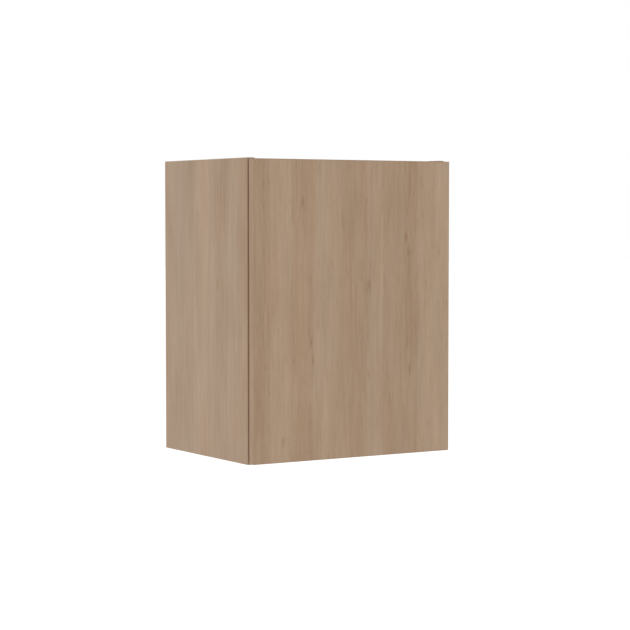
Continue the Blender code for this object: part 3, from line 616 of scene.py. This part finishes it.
def arcs(before, corners, after, radius, steps):
    """An arc at each corner, centred on its bisector, where both of its edges are a radius away."""
    back, ahead = unit(before - corners), unit(after - corners)
    half = np.arccos(np.clip((back * ahead).sum(1), -1, 1)) / 2
    radii = np.broadcast_to(radius, len(corners))
    centres = corners + unit(back + ahead) * (radii / np.sin(half))[:, None]
    first, last = (corners + way * (radii / np.tan(half))[:, None] - centres for way in (back, ahead))
    start = np.arctan2(first[:, 1], first[:, 0])
    sweep = (np.arctan2(last[:, 1], last[:, 0]) - start + math.pi) % (2 * math.pi) - math.pi
    angles = start[:, None] + sweep[:, None] * np.linspace(0, 1, steps)
    round_part = np.stack([np.cos(angles), np.sin(angles)], -1) * radii[:, None, None]
    return (centres[:, None] + round_part).reshape(-1, 2)


def rounded(corners, radius, steps=6):
    """A closed outline with its corners turned into arcs."""
    corners = np.asarray(corners, float)
    return arcs(np.roll(corners, 1, axis=0), corners, np.roll(corners, -1, axis=0), radius, steps)


def bent(points, radius, steps=6):
    """An open path with its inner corners turned into arcs."""
    points = np.asarray(points, float)
    middle = arcs(points[:-2], points[1:-1], points[2:], radius, steps)
    return np.vstack([points[:1], middle, points[-1:]])


def rectangle(low, high, radius, steps=6):
    """A rectangle between two corners, with rounded corners."""
    (a, b), (c, d) = low, high
    return rounded([(a, b), (c, b), (c, d), (a, d)], radius, steps)


def inset(outline, amount):
    """The outline moved inwards: each point goes along the mean normal of its two edges."""
    ahead = np.roll(outline, -1, axis=0) - outline
    along = unit(unit(ahead) + unit(outline - np.roll(outline, 1, axis=0)))
    turn = np.sign((outline[:, 0] * np.roll(outline[:, 1], -1)
                    - outline[:, 1] * np.roll(outline[:, 0], -1)).sum())
    return outline + np.stack([-along[:, 1], along[:, 0]], -1) * turn * amount


print("a rounded square has", len(rectangle((0, 0), (1, 1), 0.1)), "points")

# %% Pressed and turned shapes
UPRIGHT_ENOUGH = 0.9


def pressed(outline, low, high, edge, to_space, steps=4):
    """A flat part between two heights: its rims are quarter rounds, edge * (1 - sine, 1 - cosine)."""
    turns = np.linspace(0, math.pi / 2, steps)
    ways = [(edge * (1 - math.sin(t)), low + edge * (1 - math.cos(t))) for t in turns]
    ways += [(edge * (1 - math.sin(t)), high - edge * (1 - math.cos(t))) for t in turns[::-1]]
    rings = [to_space(*inset(outline, amount).T, height) for amount, height in ways]
    return loft([np.stack(np.broadcast_arrays(*ring), -1) for ring in rings])


def turned(radii, heights, start, axis, sides=32, looped=False):
    """A skin round an axis: start + height * axis + radius * (cosine, sine) of the angle."""
    axis = np.asarray(axis, float)
    one = unit(np.cross(axis, (0, 0, 1) if abs(axis[2]) < UPRIGHT_ENOUGH else (1, 0, 0)))
    angle = np.linspace(0, 2 * math.pi, sides, endpoint=False)[:, None]
    around = np.cos(angle) * one + np.sin(angle) * np.cross(axis, one)
    radii = np.array([np.broadcast_to(radius, sides) for radius in radii])
    rings = np.asarray(start) + np.asarray(heights)[:, None, None] * axis + radii[:, :, None] * around
    return loft(rings, looped)


print("a turned cone has", len(turned((1, 0.5), (0, 1), (0, 0, 0), (0, 0, 1))[0]), "points")

# %% [markdown]
# ## Edge bands
#
# An edge band is a strip of ABS glued to the cut edge of a board and trimmed with a small radius, so
# its long edges are round and catch a thin line of light. A box with a Bevel modifier would round all
# twelve edges alike. A strip with its own profile has two round edges in front, and crisp ones where
# it meets the board and where it is cut to length.

# %% Bands on the front edges of the carcass
BAND_ROUND = 0.0008
CRISP = 0.00004
# each band reaches this far into its board, so that no light shows through the joint
GLUE = 0.00025


def front_band(node, along, finish):
    """A strip with two round front edges, carried along X or Z from end to end of its node."""
    low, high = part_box(node)
    back = high.y + GLUE
    edges = (BAND_ROUND, BAND_ROUND, CRISP, CRISP)
    if along == "Z":
        outline = rounded([(low.x, low.y), (high.x, low.y), (high.x, back), (low.x, back)], edges)
        shell = pressed(outline, low.z, high.z, CRISP / 2, lambda x, y, z: (x, y, z), 2)
    else:
        outline = rounded([(low.y, high.z), (low.y, low.z), (back, low.z), (back, high.z)], edges)
        shell = pressed(outline, low.x, high.x, CRISP / 2, lambda y, z, x: (x, y, z), 2)
    piece(f"trimmed_{node}", [shell], finish, node)


for word in ("left", "right"):
    front_band(f"edge_band_{word}", "Z", upright_band)
for word in ("top", "bottom", "shelf"):
    front_band(f"edge_band_{word}", "X", level_band)

# %% [markdown]
# ## Rim of the door
#
# Four bands go round the door, and their round edges meet in mitres at its corners. Four strips would
# leave butt joints to hide. One profile carried round the four corners and back to its start gives
# the whole rim, mitres and all, in one closed skin, which stands for the four bands of the frame.

# %% Rim of the door
door_low, door_high = span("door_panel")
rim_low, rim_high = span("door_band_left")
reach = door_low[0] - rim_low[0]
start = door_low[0] - rim_high[0] - GLUE
profile = rounded([(start, door_high[1]), (reach, door_high[1]), (reach, door_low[1]),
                   (start, door_low[1])], (CRISP, BAND_ROUND, BAND_ROUND, CRISP))
corners = ((door_low[0], -1, door_low[2], -1), (door_high[0], 1, door_low[2], -1),
           (door_high[0], 1, door_high[2], 1), (door_low[0], -1, door_high[2], 1))
rings = [np.stack([x + out_x * profile[:, 0], profile[:, 1], z + out_z * profile[:, 0]], -1)
         for x, out_x, z, out_z in corners]
door_rim = piece("door_rim", [loft(rings, looped=True)], upright_band,
                 *(f"door_band_{word}" for word in ("left", "right", "top", "bottom")))
print("door rim:", len(door_rim.data.vertices), "points")

# %% [markdown]
# ## Screws
#
# The screws are pan-headed, with a thread and a cross recess. A thread could be a spiral from the
# Screw modifier, joined to a head, with the cross cut out of it. Here all of that is one turned skin:
# the radius is a number along the head, follows a winding tooth along the thread, and takes the shape
# of a cross in the recess. Each screw takes its length and its head's size from its frame node.

# %% Screw
THREAD_PITCH = 0.0012
THREAD_ROOT = 0.82
ROWS_PER_TURN = 6
SCREW_SIDES = 32
POINT, NECK_SHARE = 0.3, 0.85
HEAD_FOOT, HEAD_TOP = 0.94, 0.64
RIM_SHARE = 0.3
RECESS_TOP, RECESS_FLOOR = (0.56, 0.14), (0.36, 0.10)
DOME_STEPS = 5
screw_angle = np.linspace(0, 2 * math.pi, SCREW_SIDES, endpoint=False)


def cross(arm, half_width):
    """Radius of a plus sign: the farther of two bars' edges, each edge its distance over the cosine."""
    cosine, sine = (np.abs(wave(screw_angle)) + TINY for wave in (np.cos, np.sin))
    level = np.minimum(arm / cosine, half_width / sine)
    upright = np.minimum(half_width / cosine, arm / sine)
    return np.maximum(level, upright)


def thread(radius, low, high):
    """Radii and heights of a thread: the tooth is a triangle wave of height / pitch - angle / turn."""
    heights = np.linspace(low, high, max(2, round((high - low) / THREAD_PITCH * ROWS_PER_TURN)))
    phase = heights[:, None] / THREAD_PITCH - screw_angle / (2 * math.pi)
    tooth = 1 - np.abs(2 * (phase % 1) - 1)
    return list(radius * (THREAD_ROOT + (1 - THREAD_ROOT) * tooth)), list(heights)


def screw(node, out, shank, head_height, finish):
    """A pan-head screw: point, thread, neck, domed head and recess; out is the way its head looks."""
    low, high = span(node)
    out = np.array(out, float)
    length = abs((high - low) @ out)
    head = (high - low)[out == 0].max() / 2
    under = length - head_height
    radii, heights = [shank * POINT], [0.0]
    if under > 2 * shank:
        winding, places = thread(shank, shank, under - shank / 2)
        radii, heights = radii + winding, heights + places
    rise = np.linspace(0, math.pi / 2, DOME_STEPS)
    rim = head_height * RIM_SHARE
    radii += [shank * NECK_SHARE, head * HEAD_FOOT, *(head * (HEAD_TOP + (1 - HEAD_TOP) * np.cos(rise))),
              cross(*(head * share for share in RECESS_TOP)),
              cross(*(head * share for share in RECESS_FLOOR))]
    heights += [under, under, *(under + rim + (head_height - rim) * np.sin(rise)), length, under + rim]
    tip = (low + high) / 2 - out * length / 2
    return piece(f"turned_{node}", [turned(radii, heights, tip, out, SCREW_SIDES)], finish, node)


# %% All the screws
INWARDS = {"left": (1, 0, 0), "right": (-1, 0, 0)}
TO_FRONT, TO_BACK = (0, -1, 0), (0, 1, 0)
# radius of the shank and height of the head
WOOD_SCREW, FLAT_SCREW, CUP_SCREW = (0.0020, 0.0020), (0.0020, 0.0018), (0.0016, 0.0014)
SET_SCREW, HANGER_BOLT = (0.0015, 0.0039), (0.0022, 0.0066)

for word in ("lower", "upper"):
    screw(f"arm_screw_{word}", INWARDS["right"], *WOOD_SCREW, nickel)
    screw(f"adjust_screw_{word}", INWARDS["right"], *SET_SCREW, nickel)
    for letter in "ab":
        screw(f"plate_screw_{word}_{letter}", INWARDS["right"], *FLAT_SCREW, nickel)
        screw(f"cup_screw_{word}_{letter}", TO_BACK, *CUP_SCREW, nickel)
for letter in "ab":
    screw(f"latch_screw_{letter}", INWARDS["left"], *FLAT_SCREW, zinc)
for word, inwards in INWARDS.items():
    for number in (1, 2):
        screw(f"hanger_screw_{word}_{number}", inwards, *WOOD_SCREW, zinc)
    for use in ("height", "depth"):
        screw(f"hanger_{use}_screw_{word}", TO_FRONT, *HANGER_BOLT, zinc)

# %% [markdown]
# ## Pins
#
# Four turned steel pins carry the shelf: each has a chamfered shank in the side, a collar against it
# and a stub under the shelf. The hinge pins are plain rods with riveted, slightly domed ends. Both
# are bodies of revolution, so a short list of radii and heights says all there is to say.

# %% Pins of the shelf
SIDE_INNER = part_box("side_panel_right")[0].x
COLLAR_OVER_SHANK = 0.0016
COLLAR_EDGE, PIN_CHAMFER = 0.0002, 0.0006
COLLAR_START, COLLAR_END = 0.0003, 0.0012
PIN_TIPS = (0.7, 0.85, 0.6)

for number in range(1, 5):
    low, high = span(f"shelf_pin_{number}")
    out = -np.sign(low[0] + high[0])
    collar = (high[2] - low[2]) / 2
    shank = collar - COLLAR_OVER_SHANK
    depth = max(-low[0], high[0]) - SIDE_INNER
    length = high[0] - low[0]
    tip = ((low[0] + high[0]) / 2 - out * length / 2, *(low + high)[1:] / 2)
    start, end = depth + COLLAR_START, depth + COLLAR_END
    profile = np.array([(shank * PIN_TIPS[0], 0), (shank, PIN_CHAMFER), (shank, start),
                        (collar - COLLAR_EDGE, start), (collar, start + COLLAR_EDGE),
                        (collar, end - COLLAR_EDGE), (collar - COLLAR_EDGE, end),
                        (shank + COLLAR_EDGE, end), (shank, end + COLLAR_EDGE),
                        (shank, length - 4 * COLLAR_EDGE), (shank * PIN_TIPS[1], length - COLLAR_EDGE),
                        (shank * PIN_TIPS[2], length)])
    piece(f"turned_shelf_pin_{number}", [turned(*profile.T, tip, (out, 0, 0))], nickel,
          f"shelf_pin_{number}")
print("shelf pin:", round(length * 1000, 1), "mm long, collar", round(collar * 2000, 1), "mm")

# %% Pins of the hinges
DOME_RISE = 0.5

for word in ("lower", "upper"):
    low, high = span(f"hinge_pin_{word}")
    radius, length = (high[0] - low[0]) / 2, high[2] - low[2]
    fall = np.linspace(math.pi / 2, 0, DOME_STEPS)[1:]
    dome, lift = radius * np.cos(fall), radius * DOME_RISE * (1 - np.sin(fall))
    foot = (*(low + high)[:2] / 2, low[2])
    piece(f"turned_hinge_pin_{word}",
          [turned(np.r_[dome, dome[::-1]], np.r_[lift, length - lift[::-1]], foot, (0, 0, 1))], nickel,
          f"hinge_pin_{word}")
print("hinge pin:", round(length * 1000, 1), "mm")

# %% [markdown]
# ## Hinges
#
# A cup hinge is steel strip, pressed and plated. Its cup is drawn down into a bore in the door and
# screwed on by two ears; two lugs in it hold the pin. A hand-made cup would be a cylinder, hollowed by
# Solidify. Turned from a profile, its wall, its round floor and its rim come out in one skin.

# %% Cup
SIDE_FACE = frame_box[1][0]
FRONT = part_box("edge_band_right")[0].y
PRESSED_EDGE = 0.0003


def hinge_space(u, v, z):
    """u runs inwards from the outer face of the right side, v forwards from the carcass, z upwards."""
    return SIDE_FACE - u, FRONT - v, z


CUP_WALL = 0.0008
EAR_WIDTH = 0.014
EAR = 0.0010
EAR_CLEARANCE = 0.0003
CUP_SOFT = 0.0016
CUP_FLOOR, RIM_ROUND = 0.3, 0.3
CUP_SIDES = 64
EAR_ROUND = 0.006
LUG, LUG_ROUND, LUG_CORNER = 0.0026, 0.0020, 0.0004
LUG_REACH = (0.0022, 0.0027)


def cup(word):
    """A drawn bowl turned round its own axis, two ears for the screws and two lugs for the pin."""
    low, high = span(f"hinge_cup_{word}")
    pin_low, pin_high = span(f"hinge_pin_{word}")
    axis_x, axis_z = (low + high)[[0, 2]] / 2
    radius, deep = (high[0] - low[0]) / 2, high[1] - low[1]
    wall, soft = CUP_WALL, CUP_SOFT
    turn = np.linspace(0, math.pi / 2, DOME_STEPS)
    outer = radius - soft * (1 - np.sin(turn)), soft * (1 - np.cos(turn))
    inner = radius - wall - (soft - wall) * (1 - np.sin(turn)), wall + (soft - wall) * (1 - np.cos(turn))
    rim = wall * RIM_ROUND
    radii = np.r_[radius * CUP_FLOOR, outer[0], radius, radius - rim, radius - wall + rim, radius - wall,
                  inner[0][::-1], radius * CUP_FLOOR]
    heights = np.r_[0, outer[1], deep - rim, deep, deep, deep - rim, inner[1][::-1], wall]
    shells = [turned(radii, heights, (axis_x, low[1], axis_z), TO_BACK, CUP_SIDES)]

    ear_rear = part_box("door_panel")[1].y + EAR_CLEARANCE
    inside = radius - wall / 2
    foot = math.sqrt(inside ** 2 - (EAR_WIDTH / 2) ** 2)
    reach = (high[2] - low[2]) / 2
    side = EAR_WIDTH / 2
    tip = bent([(side, foot), (side, reach), (-side, reach), (-side, foot)], EAR_ROUND, 8)
    spread = math.asin(side / inside)
    arc = np.linspace(-spread, spread, 9)[1:-1]
    ear = np.vstack([tip, inside * np.stack([np.sin(arc), np.cos(arc)], -1)])
    for way in (-1, 1):
        shells.append(pressed(ear, ear_rear, ear_rear + EAR, PRESSED_EDGE / 2,
                              lambda x, z, y: (axis_x + x, y, axis_z + way * z), 3))

    pivot_x, pivot_y = (pin_low + pin_high)[:2] / 2
    sunk = low[1] + wall / 2
    outer_x, inner_x, top_y = pivot_x + LUG_REACH[0], pivot_x - LUG_REACH[1], pivot_y + LUG_REACH[1]
    lug = rounded([(inner_x, sunk), (outer_x, sunk), (outer_x, top_y), (inner_x, top_y)],
                  (LUG_CORNER, LUG_CORNER, LUG_ROUND, LUG_ROUND))
    for far in (pin_low[2], pin_high[2] - LUG):
        shells.append(pressed(lug, far, far + LUG, PRESSED_EDGE, lambda x, y, z: (x, y, z), 3))
    return piece(f"drawn_cup_{word}", shells, nickel, f"hinge_cup_{word}")


for word in ("lower", "upper"):
    print("cup:", len(cup(word).data.vertices), "points")

# %% [markdown]
# ## Hinge arms
#
# The arm is one strip. It's rolled into an eye round the pin, runs out of the cup as a flat neck,
# turns round the edge of the side and is folded into a channel, narrower again at its tail. Folding a
# flat mesh would take many bends. Here one section is carried along the bent route, and its width and
# its walls grow on the way, which is just what the press does to the strip.

# %% Arm
NECK, WEB, WALL = 0.0016, 0.0020, 0.0016
NECK_WIDTH, CORNER = 0.0098, 0.0009
EYE_RADIUS, EYE_BORE, EYE_LENGTH = 0.0023, 0.0015, 0.0100
EYE_JOIN = 0.85
# the route: how far the neck stands off the side, where it turns in and where the web starts
NECK_STANDS_OFF, TURN_IN, WEB_START, ROUTE_RADIUS = 0.0045, 0.006, 0.013, 0.0030
# where the width and the walls grow, as distances behind the carcass's front
WIDENS, WALLS_GROW = (0.0085, 0.0180), (0.0150, 0.0230)
TAIL_LENGTH, TAIL_NARROWER = 0.0050, 0.0030
WALL_CLEARANCE = 0.0033
ARM_STATIONS = 120
# the boss round the adjusting screw: radii over the screw's own, and heights
BOSS_CLEARANCE = 0.0003
BOSS_RADII, BOSS_HEIGHTS = (0, 0, 0.0008, 0.0013, 0.0016), (0, 0.0011, 0.0011, 0.0008, 0)


def grow(place, start, end):
    """0 before start, 1 after end and a smooth step 3t^2 - 2t^3 between them."""
    t = np.clip((place - start) / (end - start), 0, 1)
    return t * t * (3 - 2 * t)


def arm(word):
    """The section (across, sideways) carried along the route (u, v), plus the eye and a screw boss."""
    low, high = span(f"hinge_arm_{word}")
    pin = sum(span(f"hinge_pin_{word}")) / 2
    pivot_u, pivot_v = SIDE_FACE - pin[0], FRONT - pin[1]
    web_u = SIDE_FACE - low[0] - WEB / 2
    rear_v = FRONT - high[1]
    neck_u = SIDE_FACE - SIDE_INNER + NECK_STANDS_OFF
    route = bent([(pivot_u + EYE_RADIUS * EYE_JOIN, pivot_v), (neck_u, pivot_v), (neck_u, -TURN_IN),
                  (web_u, -WEB_START), (web_u, rear_v)], ROUTE_RADIUS, 10)
    run = np.r_[0, np.cumsum(np.linalg.norm(np.diff(route, axis=0), axis=1))]
    even = np.linspace(0, run[-1], ARM_STATIONS)
    middle = np.stack([np.interp(even, run, route[:, k]) for k in (0, 1)], -1)
    along = unit(np.gradient(middle, axis=0))
    normal = np.stack([-along[:, 1], along[:, 0]], -1)

    behind = -middle[:, 1]
    full = high[2] - low[2]
    tail = grow(behind, -rear_v - TAIL_LENGTH, -rear_v)
    widening = grow(behind, *WIDENS)
    half = (NECK_WIDTH + (full - NECK_WIDTH) * widening - TAIL_NARROWER * tail) / 2
    thick = (NECK + (WEB - NECK) * widening) / 2
    wall_reach = web_u - (SIDE_FACE - SIDE_INNER) - WALL_CLEARANCE
    depth = thick + CRISP + (wall_reach - thick) * grow(behind, *WALLS_GROW) * (1 - tail)
    bow = np.linspace(0, math.pi / 2, 4)
    lift = [thick - CORNER * (1 - math.sin(t)) for t in bow]
    draw = [half - CORNER * (1 - math.cos(t)) for t in bow]
    across = [-depth, *lift, *lift[::-1], -depth, -depth, -thick, -thick, -depth]
    sideways = [half, *draw, *(-edge for edge in draw[::-1]), -half, WALL - half, WALL - half,
                half - WALL, half - WALL]
    off, wide = np.stack(across, -1), np.stack(sideways, -1)
    flat = middle[:, None] + normal[:, None] * off[:, :, None]
    skin = loft(np.stack(hinge_space(flat[..., 0], flat[..., 1], pin[2] + wide), -1))

    slim = EYE_RADIUS - PRESSED_EDGE
    eye_radii = (EYE_BORE, EYE_BORE, slim, EYE_RADIUS, EYE_RADIUS, slim)
    eye_heights = (0, EYE_LENGTH, EYE_LENGTH, EYE_LENGTH - PRESSED_EDGE, PRESSED_EDGE, 0)
    foot = (pin[0], pin[1], pin[2] - EYE_LENGTH / 2)
    eye = turned(eye_radii, eye_heights, foot, (0, 0, 1), looped=True)

    screw_low, screw_high = span(f"adjust_screw_{word}")
    bore = (screw_high[2] - screw_low[2]) / 2 + BOSS_CLEARANCE
    foot = (SIDE_FACE - web_u - WEB / 4, *(screw_low + screw_high)[1:] / 2)
    boss = turned([bore + more for more in BOSS_RADII], BOSS_HEIGHTS, foot, INWARDS["right"], looped=True)
    return piece(f"pressed_arm_{word}", [skin, eye, boss], nickel, f"hinge_arm_{word}")


for word in ("lower", "upper"):
    print("arm:", len(arm(word).data.vertices), "points")

# %% [markdown]
# ## Mounting plates
#
# The plate is a stamped cross, screwed to the side: two wings for the screws, above and below, and a
# raised rail that the arm's channel sits over. Both are flat parts with a round rim, so each is its
# outline pressed between two heights, and they overlap a little to read as one stamping.

# %% Mounting plate
PLATE, PLATE_WIDTH, PLATE_ROUND = 0.0020, 0.014, 0.0065
RAIL_WIDTH, RAIL_ROUND = 0.0124, 0.0015


def mounting_plate(word):
    """Two wings for the screws and the rail that the arm's channel sits on."""
    low, high = span(f"hinge_plate_{word}")
    screw_y = sum(span(f"plate_screw_{word}_a"))[1] / 2
    middle = (low[2] + high[2]) / 2
    wings = rectangle((screw_y - PLATE_WIDTH / 2, low[2]), (screw_y + PLATE_WIDTH / 2, high[2]),
                      PLATE_ROUND, 8)
    rail = rectangle((low[1], middle - RAIL_WIDTH / 2), (high[1], middle + RAIL_WIDTH / 2), RAIL_ROUND)
    shells = [pressed(wings, high[0] - PLATE, high[0], PRESSED_EDGE, lambda y, z, x: (x, y, z)),
              pressed(rail, low[0], high[0] - PLATE / 4, PRESSED_EDGE * 2, lambda y, z, x: (x, y, z))]
    return piece(f"pressed_plate_{word}", shells, nickel, f"hinge_plate_{word}")


for word in ("lower", "upper"):
    print("plate:", len(mounting_plate(word).data.vertices), "points")

# %% [markdown]
# ## Push latch
#
# The latch is a moulded barrel on a screwed foot. A sprung plunger slides in it and carries a magnet,
# which holds a steel disc on the door. Pushing the door lets the spring drive the plunger out. A plain
# cylinder would look like a stub of pipe, so the barrel's profile goes in at the bore, over four
# shallow grooves and round at the back. The foot has the outline of a hinge plate's wings.

# %% Latch housing
housing_low, housing_high = span("latch_housing")
magnet_low, magnet_high = span("latch_magnet")
plunger_low, plunger_high = span("latch_plunger")
striker_low, striker_high = span("latch_striker")
latch_x, latch_z = (magnet_low + magnet_high)[[0, 2]] / 2
foot_y = sum(span("latch_screw_a"))[1] / 2
barrel = housing_high[0] - latch_x
plunger = (plunger_high[2] - plunger_low[2]) / 2
long = housing_high[1] - housing_low[1]
BORE_PLAY, BORE_DEEP = 0.0003, 0.050
bore = plunger + BORE_PLAY
GROOVE_START, GROOVE_STEP, GROOVE_COUNT = 0.006, 0.003, 4
GROOVE_DEPTH, GROOVE_PLACES = 0.0004, (0, 0.0004, 0.0014, 0.0018)
MOUTH, BACK_ROUND = 0.0006, 0.0018
RIB_MARGIN, RIB_HALF, RIB_CORNER = 0.004, 0.0045, 0.002
BARREL_SIDES, PLUNGER_SIDES = 48, 40

grooves = GROOVE_START + GROOVE_STEP * np.arange(GROOVE_COUNT)[:, None] + GROOVE_PLACES
groove_radii = barrel - np.tile([0, GROOVE_DEPTH, GROOVE_DEPTH, 0], GROOVE_COUNT)
radii = np.r_[bore, bore, bore + MOUTH, barrel - MOUTH, barrel, groove_radii, barrel, barrel - MOUTH,
              barrel - BACK_ROUND]
heights = np.r_[BORE_DEEP, MOUTH, 0, 0, MOUTH, grooves.ravel(), long - BACK_ROUND, long - MOUTH, long]
nose = (latch_x, housing_low[1], latch_z)
foot = rectangle((foot_y - PLATE_WIDTH / 2, housing_low[2]), (foot_y + PLATE_WIDTH / 2, housing_high[2]),
                 PLATE_ROUND, 8)
rib = rectangle((housing_low[1] + RIB_MARGIN, latch_z - RIB_HALF),
                (housing_high[1] - RIB_MARGIN, latch_z + RIB_HALF), RIB_CORNER)
piece("moulded_latch_housing",
      [turned(radii, heights, nose, TO_BACK, BARREL_SIDES),
       pressed(foot, housing_low[0], housing_low[0] + PLATE, PRESSED_EDGE * 2, lambda y, z, x: (x, y, z)),
       pressed(rib, housing_low[0] + PLATE / 4, latch_x, PRESSED_EDGE, lambda y, z, x: (x, y, z))],
      grey_plastic, "latch_housing")
print("latch bore:", round(bore * 2000, 2), "mm wide,", BORE_DEEP * 1000, "mm deep")

# %% Plunger, magnet and striker
PLUNGER_EDGE, GROOVE = 0.0005, (0.0040, 0.0045, 0.0055, 0.0060)
# the magnet's dished face and the striker's cross, as radii and as depths under the face
DISH_RADII, DISH_HEIGHTS = (0.0010, 0.0016, 0.0020), (0.0004, 0.0003, 0)
MAGNET_EDGE = 0.0003
STRIKER_CROSS, CROSS_FLOOR = (0.0020, 0.0005), (0.0015, 0.0004)
DISC_EDGE, DISC_REAR, DISC_STEP, SUNK, FLOOR_SUNK = 0.0003, 0.0002, 0.0005, 0.0004, 0.0009
DISC_FACE = (0.50, 0.40)

slim, slide = plunger - PLUNGER_EDGE, plunger_high[1] - plunger_low[1]
piece("moulded_plunger",
      [turned((slim, plunger, plunger, slim, slim, plunger, plunger, plunger - MOUTH),
              (0, PLUNGER_EDGE, *GROOVE, slide - MOUTH, slide),
              (latch_x, plunger_low[1], latch_z), TO_BACK, PLUNGER_SIDES)], grey_plastic, "latch_plunger")

thick = magnet_high[1] - magnet_low[1]
piece("dished_magnet",
      [turned((*DISH_RADII, plunger - MOUTH, plunger, plunger, plunger - MAGNET_EDGE),
              (*DISH_HEIGHTS, 0, MOUTH, thick - MAGNET_EDGE, thick),
              (latch_x, magnet_low[1], latch_z), TO_BACK, PLUNGER_SIDES)], magnet_plate, "latch_magnet")

disc, thick = (striker_high[2] - striker_low[2]) / 2, striker_high[1] - striker_low[1]
piece("striker_disc",
      [turned((disc - DISC_EDGE, disc, disc, disc - DISC_STEP, disc * DISC_FACE[0], disc * DISC_FACE[1],
               cross(*STRIKER_CROSS), cross(*CROSS_FLOOR)),
              (0, DISC_REAR, thick - DISC_STEP, thick, thick, thick - SUNK, thick - SUNK,
               thick - FLOOR_SUNK),
              (latch_x, striker_low[1], latch_z), TO_BACK, SCREW_SIDES)], zinc, "latch_striker")
print("plunger:", round(slide * 1000, 1), "mm long, striker:", round(disc * 2000, 1), "mm wide")

# %% [markdown]
# ## Hangers
#
# Each hanger is a steel case in the upper rear corner. A hook comes out of its slot and over the wall
# rail, and two screws move the hook up and out. A white cap covers it from inside. The hook is cut
# from strip, so it's an outline pressed through its thickness. The case and the cap have the right
# shape in the frame, so they stay and only get their edges rounded by modifiers: the frame's meshes
# are loose triangles, so they are welded and made flat before they are bevelled.

# %% Hooks
HOOK_LIP, HOOK_THROAT = 0.003, 0.010
HOOK_NECK, LIP_DROP = 0.008, 0.022
# one radius for each corner, from the front top corner round the lip and the throat
HOOK_ROUNDS = (0.001, 0.004, 0.0014, 0.0014, 0.0015, 0.0015, 0.001, 0.001)


def hook(word):
    """The hook's outline in (y, z), pressed through the thickness of its strip."""
    low, high = span(f"hanger_hook_{word}")
    lip, throat = high[1] - HOOK_LIP, high[1] - HOOK_LIP - HOOK_THROAT
    outline = rounded([(low[1], high[2]), (high[1], high[2]), (high[1], high[2] - LIP_DROP),
                       (lip, high[2] - LIP_DROP), (lip, high[2] - HOOK_NECK),
                       (throat, high[2] - HOOK_NECK), (throat, low[2]), (low[1], low[2])], HOOK_ROUNDS)
    return piece(f"cut_hook_{word}", [pressed(outline, low[0], high[0], PRESSED_EDGE,
                                              lambda y, z, x: (x, y, z))], zinc, f"hanger_hook_{word}")


for word in ("left", "right"):
    print("hook:", len(hook(word).data.vertices), "points")

# %% Cases and covers
WELD_REACH = 1e-5
FLAT_ANGLE, EDGE_ANGLE = math.radians(1), math.radians(40)
SOFT_EDGE, SOFT_STEPS = 0.0005, 3


def soften(node):
    """Round the edges of a frame node: weld its triangles, dissolve them to flats, then bevel."""
    weld = nodes[node].modifiers.new("weld", "WELD")
    weld.merge_threshold = WELD_REACH
    flat = nodes[node].modifiers.new("flat", "DECIMATE")
    flat.decimate_type = "DISSOLVE"
    flat.angle_limit = FLAT_ANGLE
    bevel = nodes[node].modifiers.new("bevel", "BEVEL")
    bevel.width = SOFT_EDGE
    bevel.segments = SOFT_STEPS
    bevel.limit_method = "ANGLE"
    bevel.angle_limit = EDGE_ANGLE


for word in ("left", "right"):
    soften(f"hanger_case_{word}")
    soften(f"hanger_cover_{word}")
